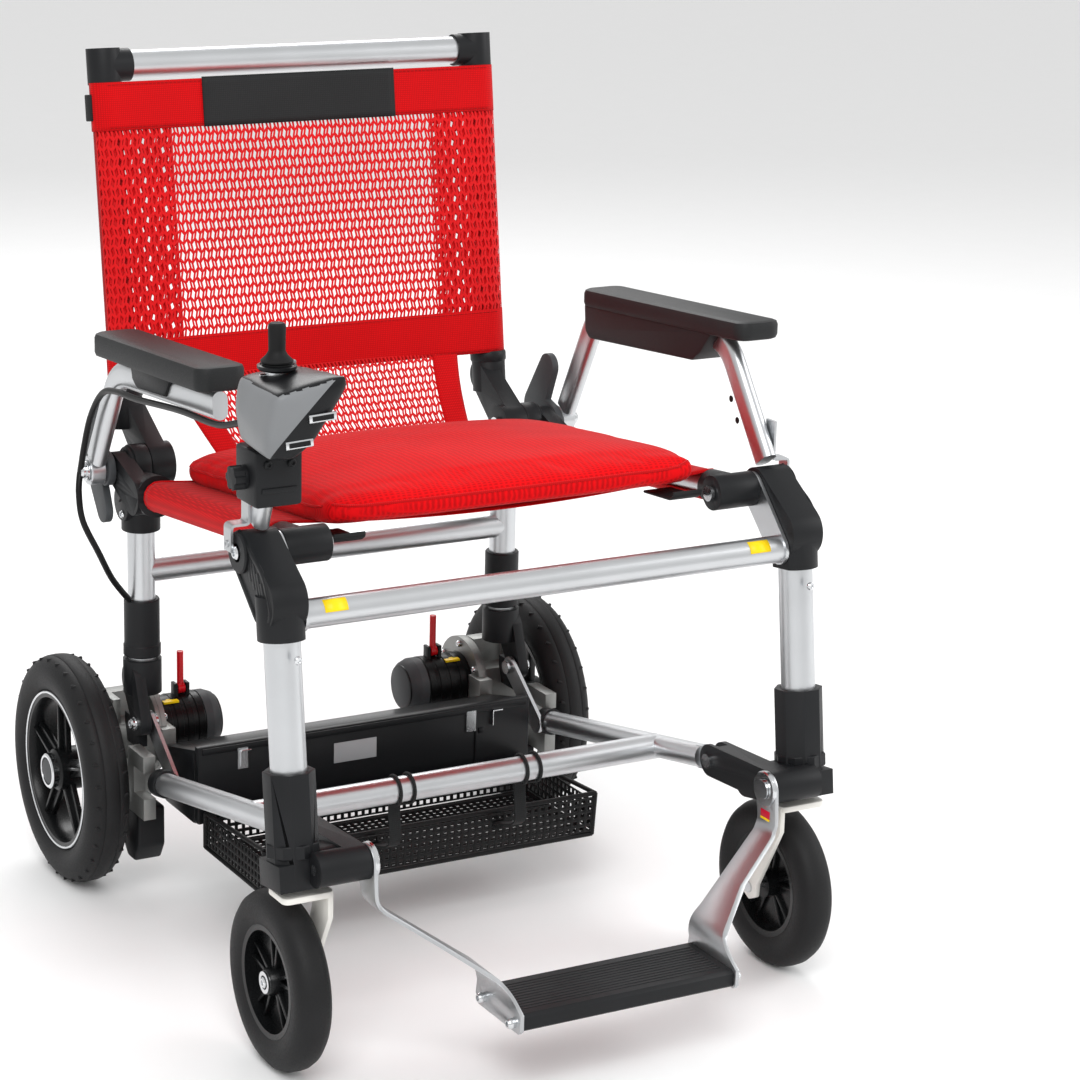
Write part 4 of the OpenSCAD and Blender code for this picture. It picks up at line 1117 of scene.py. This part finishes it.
class WHEELCHAIR_OT_caster_forks(bpy.types.Operator):
    """Makes the one-sided caster forks, bent from thick plate"""
    bl_idname = "wheelchair.caster_forks"
    bl_label = "Caster Forks"

    def execute(self, context):
        sw, x, axle = CASTER_SWIVEL.y, abs(CASTER_SWIVEL.x), CASTER_AXLE
        leg = [(sw - 17, 193), (sw + 19, 193), (sw + 19, 168), (axle.y + 13, axle.z + 6), (axle.y + 12,
        axle.z - 8),
               (axle.y, axle.z - 14), (axle.y - 12, axle.z - 8), (axle.y - 13, axle.z + 6), (sw - 17, 166)]
        top = round_rect((x - 32, sw - 20), (x + 21, sw + 20), 7)
        for tag, side in SIDES:
            shapes = [prism(leg, x - 32, x - 26, 1.4), prism(top, 188, 194.5, 1.2, upright=True)]
            stem = moved(lathe([(0, 0), (6, 0), (6, 31), (0, 31)], (0, 0, 0), 32, closed=False),
                         Matrix.Translation((x, sw, 190)) @ Matrix.Rotation(-math.pi / 2, 4, "Y"))
            axle_rod = lathe([(0, -34), (6, -34), (6, -32), (4, -32), (4, 14), (0, 14)],
                             (x, axle.y, axle.z), 24, closed=False)
            shapes += [painted(stem, 1), painted(axle_rod, 1)]
            piece(f"caster_fork_{tag}", [mirrored(s, side) for s in shapes], f"fork_body_{tag}",
                  [fork_coat(), zinc_plate()], replaces=[f"fork_{tag}"])
        return {"FINISHED"}


# ---- moulded, cast and turned parts -------------------------------------------
def softened(name, radius, segments=2, sharp=28.0):
    """A CAD node's own shape in millimetres, merged, with its sharp edges rounded."""
    bm = bmesh.new()
    bm.from_mesh(frame["nodes"][name].data)
    bmesh.ops.scale(bm, vec=(1 / MM, 1 / MM, 1 / MM), verts=bm.verts[:])
    bmesh.ops.remove_doubles(bm, verts=bm.verts[:], dist=0.004)
    bmesh.ops.dissolve_limit(bm, angle_limit=math.radians(0.8), verts=bm.verts[:], edges=bm.edges[:])
    return soften(bm, radius, segments, sharp)


def both(make):
    """The left-hand shapes that make() gives, and the same turned over for the right."""
    return [mirrored(shape, side) for _, side in SIDES for shape in make()]


def upright_lathe(profile, x, y, steps=40, closed=True):
    """(radius, height) points spun round the upright line at x, y."""
    turn = Matrix.Translation((x, y, 0)) @ Matrix.Rotation(-math.pi / 2, 4, "Y")
    return moved(lathe(profile, (0, 0, 0), steps, closed), turn)


def label(low, high, index):
    """A thin blank sticker."""
    return painted(block(low, high, 0.15), index)


def dressed(material, *names):
    """Gives CAD nodes that keep their own shape a finish."""
    for name in names:
        mesh = frame["nodes"][name].data
        mesh.materials.clear()
        mesh.materials.append(material)


class WHEELCHAIR_OT_rear_mouldings(bpy.types.Operator):
    """Makes the rear hinge brackets, their ribbed grey covers, the leg sleeves and the lower brackets"""
    bl_idname = "wheelchair.rear_mouldings"
    bl_label = "Rear Mouldings"

    def execute(self, context):
        y, z = HINGE_YZ
        leg = y + 24

        def bracket_ribs():
            ribs = [prism([(y - 16 + k * 9, z - 6 - k * 9), (y - 11 + k * 9, z - 3 - k * 9),
                           (y + 22 + k * 4, z - 30 - k * 6), (y + 18 + k * 4, z - 34 - k * 6)],
                          POST_X + 22.5, POST_X + 25, 0.8) for k in range(3)]
            return ribs + [lathe([(13, 22), (21, 22), (21, 26), (19.5, 27.5), (13, 27.5)],
                                 (POST_X, y, z), steps=48)]

        piece("hinge_bracket_shells", [softened("hinge_brackets", 2.2), *both(bracket_ribs)], "rear_frame",
              [nylon_black()], replaces=["hinge_brackets"])

        def cover_ribs():
            ribs = []
            for k in range(7):
                angle = math.radians(-58 + 19 * k)
                centre = Vector((POST_X + 50.2, y + 2, z + 6))
                reach = Vector((0, math.cos(angle), math.sin(angle)))
                ribs.append(sweep([centre + reach * 22, centre + reach * 46], oval_section(5, 2.4), sides=12))
            return ribs + [lathe([(7, 50), (14, 50), (14, 52.4), (12, 53.6), (7, 53.6)], (POST_X, y, z),
                                 steps=40)]

        piece("hinge_cover_shells", [softened("hinge_covers", 2.4), *both(cover_ribs)], "rear_frame",
              [nylon_grey()], replaces=["hinge_covers"])

        def sleeve():
            wall = [(15.05, 266), (19.6, 266), (20.4, 267), (20.4, 278), (19.4, 279.2), (19.4, 328.6),
                    (18.4, 330)]
            return [upright_lathe([*wall, (15.05, 330)], POST_X, leg, steps=64)]

        piece("leg_sleeve_shells", both(sleeve), "rear_frame", [nylon_black()],
              replaces=["leg_sleeves"])
        piece("lower_bracket_shells", [softened("lower_brackets", 1.8)], "rear_frame",
              [nylon_black()], replaces=["lower_brackets"])
        piece("antitip_foot_shells", [softened("antitip_feet", 3.0)], "rear_frame",
              [nylon_black()], replaces=["antitip_feet"])

        def rear_bolts():
            return [hex_bolt((POST_X + 72.8, y, z), (1, 0, 0), 16, 6), hex_bolt((POST_X + 20, y, 196), (1,
            0, 0), 12, 5),
                    hex_bolt((POST_X + 21, leg - 4, z - 58), (1, 0, 0), 9, 4)]

        piece("rear_bolt_heads", both(rear_bolts), "rear_frame", [zinc_plate()])
        dressed(anodised_aluminium(), "rear_legs")
        dressed(zinc_plate(), "pivot_bolts", "battery_clips")
        return {"FINISHED"}


class WHEELCHAIR_OT_drive_units(bpy.types.Operator):
    """Makes the cast gearboxes, the motors with their flanges and caps, and the release levers"""
    bl_idname = "wheelchair.drive_units"
    bl_label = "Drive Units"

    def execute(self, context):
        along_y, along_z = DRIVE_AXLE.y - 8, DRIVE_AXLE.z + 38

        def gearbox_trim():
            flange = [(33, -27.5), (50.4, -27.5), (50.4, -22), (49, -20.5), (33, -20.5)]
            shapes = [lathe(flange, (POST_X, along_y, along_z), steps=64)]
            for k in range(6):
                angle = math.tau * (k + 0.5) / 6
                spot = (POST_X - 27.5, along_y + 43 * math.cos(angle), along_z + 43 * math.sin(angle))
                shapes.append(painted(hex_bolt(spot, (-1, 0, 0), 8, 4), 1))
            return shapes

        piece("gearbox_castings", [softened("gearboxes", 2.6), *both(gearbox_trim)], "rear_frame",
              [cast_aluminium(), zinc_plate()], replaces=["gearboxes"])

        def motor_trim():
            rings = []
            for k in range(4):
                at = -34 - 13 * k
                rings.append(lathe([(31, at), (32.9, at - 1), (32.9, at - 8), (31, at - 9)],
                                   (POST_X, along_y, along_z), steps=64))
            cap = [(0, -106), (22, -106), (29, -101), (32.6, -92), (32.6, -83), (0, -83)]
            rings.append(painted(lathe(cap, (POST_X, along_y, along_z), 48, closed=False), 1))
            spot = (POST_X - 46, along_y - 12, along_z + 30.2)
            return rings + [label((spot[0] - 9, spot[1] - 6, spot[2] - 2), (spot[0] + 9, spot[1] + 6,
                                                                            spot[2] + 0.6), 2)]

        piece("motor_cans", [softened("motors", 1.6), *both(motor_trim)], "rear_frame",
              [motor_paint(), nylon_grey(), yellow_film()], replaces=["motors"])
        for tag, _ in SIDES:
            piece(f"release_lever_shell_{tag}", [softened(f"release_lever_{tag}", 1.2)], f"lever_{tag}",
                  [lever_plastic()], replaces=[f"release_lever_{tag}"])
        return {"FINISHED"}


class WHEELCHAIR_OT_battery_box(bpy.types.Operator):
    """Makes the battery box with its tall front wall, sloping lid, clips and blank label"""
    bl_idname = "wheelchair.battery_box"
    bl_label = "Battery Box"

    def execute(self, context):
        low, high = node_box("battery_case")
        lip, rear_top, wall = high.z - 9.0, high.z - 34.0, 9.0
        body = [(low.y + wall, low.z), (high.y, low.z), (high.y, rear_top), (low.y + wall, lip - 4)]
        front = [(low.y, low.z + 2), (low.y + wall + 1, low.z + 2), (low.y + wall + 1, lip), (low.y, lip)]
        shapes = [prism(body, low.x, high.x, 3.5), prism(front, low.x + 1, high.x - 1, 2.4)]
        shapes.append(prism([(low.y - 1.6, lip - 9), (low.y + 1, lip - 9), (low.y + 1, lip - 2),
                             (low.y - 1.6, lip - 2)],
                            low.x + 6, high.x - 6, 0.8))
        for x in (low.x + 96, high.x - 70):
            shapes.append(block((x - 1.2, low.y - 1.6, low.z + 6), (x + 1.2, low.y + 1, lip - 9), 0.5))
            shapes.append(block((x + 3, low.y - 1.8, lip - 34), (x + 9, low.y + 1, lip - 28), 0.6))
        for x in (low.x + 50, high.x - 50):
            clip = rounded([Vector((x, low.y - 2.4, lip - 26)), Vector((x, low.y - 2.4, lip - 9)),
                            Vector((x + 12, low.y - 2.4, lip - 9))], 2)
            shapes.append(painted(sweep(clip, oval_section(1.6, 4.0), sides=10, across=Vector((0, 1, 0))), 2))
        shapes.append(label((-42, low.y - 0.5, 146), (10, low.y + 0.5, 169), 1))
        piece("battery_box_shell", shapes, "rear_frame", [abs_black(), grey_film(),
                                                                            zinc_plate()],
              replaces=["battery_case"])
        return {"FINISHED"}


class WHEELCHAIR_OT_seat_and_back_mouldings(bpy.types.Operator):
    """Makes the clamps and yokes of the seat rails and the sockets and elbows of the back posts"""
    bl_idname = "wheelchair.seat_and_back_mouldings"
    bl_label = "Seat and Back Mouldings"

    def execute(self, context):
        for name, nodes, radius, body in (("rail_clamp_shells", "rail_clamps", 2.4, "seat_frame"),
                                          ("rail_yoke_shells", "rail_yokes", 2.2, "seat_frame"),
                                          ("back_elbow_shells", "back_elbows", 6.0, "backrest"),
                                          ("back_socket_shells", "back_sockets", 2.4, "backrest")):
            piece(name, [softened(nodes, radius, 4 if radius > 5 else 2)], body,
                  [nylon_black()],
                  replaces=[nodes])
        collars = []
        for side in (-1, 1):
            ring = [on_back(side * POST_X, 0, along) for along in (60, 62, 70, 72)]
            collars.append(sweep(ring, round_section(20.4), sides=36, taper=lambda t: 0.95 if t in (0,
            1) else 1.0))
        piece("back_socket_collars", collars, "backrest", [nylon_black()])
        dressed(anodised_aluminium(), "seat_rails", "back_frame")
        return {"FINISHED"}


def on_leg(x, out, along):
    """A point given across, in front of and along the left front leg from its foot."""
    tilt = math.radians(7.18)
    foot = Vector((0, SEAT_HINGE.y - 83, 200))
    return foot + Vector((x, out * math.cos(tilt) + along * math.sin(tilt),
                          -out * math.sin(tilt) + along * math.cos(tilt)))


class WHEELCHAIR_OT_front_mouldings(bpy.types.Operator):
    """Makes the front brackets, the ribbed leg sleeves and the lower links"""
    bl_idname = "wheelchair.front_mouldings"
    bl_label = "Front Mouldings"

    def execute(self, context):
        y, z = SEAT_YZ

        def bracket_trim():
            face = FRONT_LEG_X + 17.5
            ribs = [lathe([(9, 17), (20, 17), (20, 20.5), (18.5, 22), (9, 22)], (FRONT_LEG_X, y, z),
                          steps=48)]
            for k in range(5):
                top = Vector((face, y - 12 - 8.5 * k, z + 12 - 7.5 * k))
                foot = Vector((face, y - 24 - 8.5 * k, z - 22 - 5.5 * k))
                ribs.append(sweep([top, foot], oval_section(6, 2.6), sides=12, across=Vector((1, 0, 0))))
            rim = rounded([Vector((face, y + 4, z + 19)), Vector((face, y - 52, z - 10)),
                           Vector((face, y - 70, z - 46)), Vector((face, y - 42, z - 60)),
                           Vector((face, y + 8, z - 18))], 12)
            return ribs + [sweep(rim, oval_section(6, 4), sides=12, across=Vector((1, 0, 0)))]

        piece("front_bracket_shells", [softened("front_brackets", 2.6, 3), *both(bracket_trim)],
              "front_frame",
              [nylon_black()], replaces=["front_brackets"])

        def sleeve_trim():
            collar = [on_leg(FRONT_LEG_X, 0, along) for along in (30, 31, 42, 43)]
            return [sweep(collar, round_section(26.6), sides=8, taper=lambda t: 0.975 if t in (0,
            1) else 1.0)]

        piece("front_sleeve_shells", [softened("front_sleeves", 2.0), *both(sleeve_trim)], "front_frame",
              [nylon_black()], replaces=["front_sleeves"])
        piece("front_link_shells", [softened("front_links", 2.6, 3)], "front_frame",
              [nylon_black()], replaces=["front_links"])

        def bolts():
            return [hex_bolt((FRONT_LEG_X + 20, y, z), (1, 0, 0), 13, 5), hex_bolt((FRONT_LEG_X - 2,
            y - 66 - 17.8,
                                                                              z - 84), (0, -1, 0), 8, 3),
                    hex_bolt((238 + 13.8, LOWER_HINGE.y - 417, 217), (1, 0, 0), 12, 4)]

        piece("front_bolt_heads", both(bolts), "front_frame", [zinc_plate()])
        bar_y, bar_z = SEAT_YZ[0] - 52, SEAT_YZ[1] - 51
        patches = [wrapped(side * 236 - 12, side * 236 + 12, (bar_y, bar_z), 14.2, 12, 68) for side in (-1,
        1)]
        piece("crossbar_labels", patches, "front_frame", [yellow_film()],
              modifiers=[thick(0.3)])
        dressed(anodised_aluminium(), "front_legs", "front_crossbar")
        dressed(zinc_plate(), "front_pins")
        return {"FINISHED"}


class WHEELCHAIR_OT_footrest(bpy.types.Operator):
    """Makes the footrest's bent straps, ribbed footplate and bolts"""
    bl_idname = "wheelchair.footrest"
    bl_label = "Footrest"

    def execute(self, context):
        y, z = FOOT_HINGE.y - 2, FOOT_HINGE.z
        labels = [label((222.6, y - 8, z - 30), (223.4, y + 8, z - 22), 2),
                  label((222.6, y - 8, z - 52), (223.4, y + 8, z - 30), 1)]
        piece("footrest_strap_bars", [softened("footrest_straps", 0.8), *labels], "footrest",
              [brushed_strap(), yellow_film(), red_film()], replaces=["footrest_straps"])
        low, high = node_box("footplate")
        shapes = [softened("footplate", 1.2)]
        rows = 11
        for k in range(rows):
            y = low.y + 14 + (high.y - low.y - 24) * k / (rows - 1)
            shapes.append(sweep([Vector((low.x + 8, y, high.z - 0.2)), Vector((high.x - 8, y, high.z - 0.2))],
                                oval_section(2.4, 1.6), sides=10, across=Vector((0, 0, 1))))
        piece("footplate_tread", shapes, "footrest", [nylon_black()], replaces=["footplate"])

        def bolts():
            edge = high.x + 7
            return [hex_bolt((edge - 0.2, low.y + 9, 81), (1, 0, 0), 10, 5),
                    hex_bolt((edge - 0.2, low.y + 67, 84), (1, 0, 0), 10, 5),
                    lathe([(10.5, -2.6), (17.5, -2.6), (18.6, -1.4), (18.6, 1.4), (17.5, 2.6), (10.5, 2.6)],
                          (223, FOOT_HINGE.y, FOOT_HINGE.z), steps=48)]

        piece("footrest_bolt_heads", both(bolts), "footrest", [zinc_plate()])
        dressed(zinc_plate(), "footrest_bolts")
        return {"FINISHED"}


class WHEELCHAIR_OT_lower_frame(bpy.types.Operator):
    """Makes the perforated cargo basket, its elastic loops and the tube collars"""
    bl_idname = "wheelchair.lower_frame"
    bl_label = "Lower Frame"

    def execute(self, context):
        low, high = node_box("cargo_basket")
        width, depth, wall = high.x - low.x, high.y - low.y, high.z - low.z
        middle = (low.y + high.y) / 2
        panels = [openwork(width - 8, depth - 12, 8.5, 8.5, 1.7,
                           lambda co: Vector((co.x, middle + 2 + co.y, low.z + 1)), lean=0)]
        panels.append(openwork(width - 8, wall - 12, 8.5, 8.5, 1.7,
                               lambda co: Vector((co.x, low.y + 3.2 - co.y * 5 / wall,
                                                  low.z + wall / 2 + co.y)), lean=0))
        panels.append(openwork(width - 8, wall - 20, 8.5, 8.5, 1.7,
                               lambda co: Vector((co.x, high.y - 1.2, low.z + wall / 2 - 4 + co.y)), lean=0))
        for side in (-1, 1):
            panels.append(openwork(depth - 12, wall - 18, 8.5, 8.5, 1.7,
                                   lambda co, s=side: Vector((s * (width / 2 - 1.2), middle + 2 + co.x,
                                                              low.z + wall / 2 - 3 + co.y)), lean=0))
        piece("basket_panels", panels, "lower_frame_body", [basket_plastic()],
              replaces=["cargo_basket"], modifiers=[thick(1.6)])
        top = [Vector((low.x + 2, low.y + 2, high.z - 2)), Vector((high.x - 2, low.y + 2, high.z - 2)),
               Vector((high.x - 2, high.y - 2, high.z - 12)), Vector((low.x + 2, high.y - 2, high.z - 12))]
        foot = [Vector((p.x, p.y + (5 if p.y < middle else 0), low.z + 2)) for p in top]
        rims = []
        for ring in (top, foot):
            for a, b in zip(ring, ring[1:] + ring[:1]):
                rims.append(sweep([a, b], round_section(2.6), sides=12, across=Vector((0.3, 0.4, 0.86))))
        for a, b in zip(top, foot):
            rims.append(sweep([a, b], round_section(3.0), sides=12))
        piece("basket_rims", rims, "lower_frame_body", [basket_plastic()])
        bar = Vector((0, SEAT_HINGE.y + 117, 194.1))
        loops = []
        for x in (-71, 78):
            turns = [(x - 8, a) for a in range(150, -71, -20)] + [(x, -82)] + [(x + 8,
            a) for a in range(-70, 151, 20)]
            cord = [Vector((at, bar.y - 15.3 * math.cos(math.radians(a)),
                            bar.z + 15.3 * math.sin(math.radians(a))))
                    for at, a in turns]
            loops.append(sweep(smoothed(cord, 3), round_section(1.7), sides=10, across=Vector((0.97, 0.2,
            0.1))))
            strap = smoothed([bar + Vector((x, 15.6, 2)), bar + Vector((x, 16.2, -30)), bar + Vector((x,
            16.0, -66)),
                              Vector((x, low.y + 1.0, 112)), Vector((x, low.y + 1.4, 104))], 6)
            loops.append(sweep(strap, oval_section(2.4, 14), sides=14))
        piece("basket_elastic_loops", loops, "lower_frame_body", [black_webbing()],
              replaces=["basket_bungees"])
        piece("tube_collar_shells", [softened("tube_collars", 1.2)], "lower_frame_body",
              [nylon_black()], replaces=["tube_collars"])
        dressed(anodised_aluminium(), "lower_frame")
        return {"FINISHED"}


class WHEELCHAIR_OT_small_controls(bpy.types.Operator):
    """Makes the clamp knob and the power button, and finishes the gimbal"""
    bl_idname = "wheelchair.small_controls"
    bl_label = "Small Controls"

    def execute(self, context):
        piece("clamp_knob_grip", [softened("clamp_knob", 1.4, 3)], "knob", [nylon_black()],
              replaces=["clamp_knob"])
        piece("power_button_cap", [softened("power_button", 1.2, 3)], "button", [abs_grey()],
              replaces=["power_button"])
        dressed(zinc_plate(), "gimbal")
        return {"FINISHED"}


# ---- stage ---------------------------------------------------------------------
def lamp(name, place, target, size, power):
    data = bpy.data.lights.new(name, "AREA")
    data.shape, data.size, data.size_y, data.energy = "RECTANGLE", size[0], size[1], power
    made = bpy.data.objects.new(name, data)
    made.location = place
    made.rotation_euler = (Vector(target) - Vector(place)).to_track_quat("-Z", "Y").to_euler()
    bpy.context.scene.collection.objects.link(made)


class WHEELCHAIR_OT_stage(bpy.types.Operator):
    """Makes the pale floor, the soft lights, the surroundings and the camera"""
    bl_idname = "wheelchair.stage"
    bl_label = "Stage"

    def execute(self, context):
        scene = context.scene
        floor = bmesh.new()
        bmesh.ops.create_grid(floor, x_segments=1, y_segments=1, size=60.0)
        mesh = bpy.data.meshes.new("floor")
        floor.to_mesh(mesh)
        floor.free()
        mesh.materials.append(surface("painted floor, pale", linear("F4F4F4"), 0.6, 4.0, 0.01, mottle=0.004))
        ground = bpy.data.objects.new("floor", mesh)
        scene.collection.objects.link(ground)
        middle = (0.0, 0.0, 0.45)
        lamp("key_light", (-1.6, -2.6, 3.2), middle, (2.2, 2.2), 95)
        lamp("fill_light", (3.2, -1.4, 2.0), middle, (2.0, 2.4), 48)
        lamp("rim_light", (0.8, 3.0, 2.8), middle, (2.4, 1.6), 60)
        world = bpy.data.worlds.new("studio")
        world.use_nodes = True
        tree = world.node_tree
        background = tree.nodes["Background"]
        background.inputs["Color"].default_value = (1.0, 1.0, 1.0, 1.0)
        seen = node(tree, "ShaderNodeLightPath").outputs["Is Camera Ray"]
        strength = node(tree, "ShaderNodeMath", {0: seen, 1: 0.2, 2: 0.8}, operation="MULTIPLY_ADD")
        tree.links.new(strength.outputs["Value"], background.inputs["Strength"])
        scene.world = world
        scene.view_settings.view_transform = "Standard"
        data = bpy.data.cameras.new("camera")
        data.lens, data.sensor_width, data.shift_x = 102.35, 36.0, 0.054
        data.clip_end = 100.0
        camera = bpy.data.objects.new("camera", data)
        camera.location = (-1.4404, -2.7143, 1.3019)
        aim = (Vector((0.0532, -0.0124, 0.4288)) - camera.location).to_track_quat("-Z", "Y")
        roll = Matrix.Rotation(math.radians(CAMERA_ROLL), 4, "Z")
        camera.rotation_euler = (aim.to_matrix().to_4x4() @ roll).to_euler()
        scene.collection.objects.link(camera)
        scene.camera = camera
        return {"FINISHED"}


CAMERA_ROLL = 1.2
OPERATORS = (WHEELCHAIR_OT_stage, WHEELCHAIR_OT_control_cable, WHEELCHAIR_OT_seat_cushion,
             WHEELCHAIR_OT_seat_sling, WHEELCHAIR_OT_back_bands, WHEELCHAIR_OT_back_net,
             WHEELCHAIR_OT_back_flap,
             WHEELCHAIR_OT_back_patch, WHEELCHAIR_OT_arm_tubes, WHEELCHAIR_OT_arm_pads,
             WHEELCHAIR_OT_arm_latches,
             WHEELCHAIR_OT_control_pod, WHEELCHAIR_OT_joystick, WHEELCHAIR_OT_small_controls,
             WHEELCHAIR_OT_drive_wheels, WHEELCHAIR_OT_caster_wheels, WHEELCHAIR_OT_caster_forks,
             WHEELCHAIR_OT_rear_mouldings, WHEELCHAIR_OT_drive_units, WHEELCHAIR_OT_battery_box,
             WHEELCHAIR_OT_seat_and_back_mouldings, WHEELCHAIR_OT_front_mouldings, WHEELCHAIR_OT_footrest,
             WHEELCHAIR_OT_lower_frame)


class WHEELCHAIR_PT_sidebar(bpy.types.Panel):
    """Lists the pieces of the wheelchair and the sizes and colours a user may change"""
    bl_idname = "WHEELCHAIR_PT_sidebar"
    bl_label = "Power Wheelchair"
    bl_space_type = "VIEW_3D"
    bl_region_type = "UI"
    bl_category = "Wheelchair"

    def draw(self, context):
        for group in (context.scene.wheelchair_colours, context.scene.wheelchair_sizes):
            box = self.layout.box()
            for key in group.bl_rna.properties.keys():
                if key not in {"rna_type", "name"}:
                    box.prop(group, key)
        column = self.layout.column(align=True)
        for operator in OPERATORS:
            column.operator(operator.bl_idname)


CLASSES = (WheelchairColours, WheelchairSizes, *OPERATORS, WHEELCHAIR_PT_sidebar)


def register():
    for each in CLASSES:
        bpy.utils.register_class(each)
    bpy.types.Scene.wheelchair_colours = bpy.props.PointerProperty(type=WheelchairColours)
    bpy.types.Scene.wheelchair_sizes = bpy.props.PointerProperty(type=WheelchairSizes)


def unregister():
    del bpy.types.Scene.wheelchair_sizes
    del bpy.types.Scene.wheelchair_colours
    for each in reversed(CLASSES):
        bpy.utils.unregister_class(each)


def main():
    register()
    for operator in OPERATORS:
        group, name = operator.bl_idname.split(".")
        getattr(getattr(bpy.ops, group), name)()


if __name__ == "__main__":
    main()
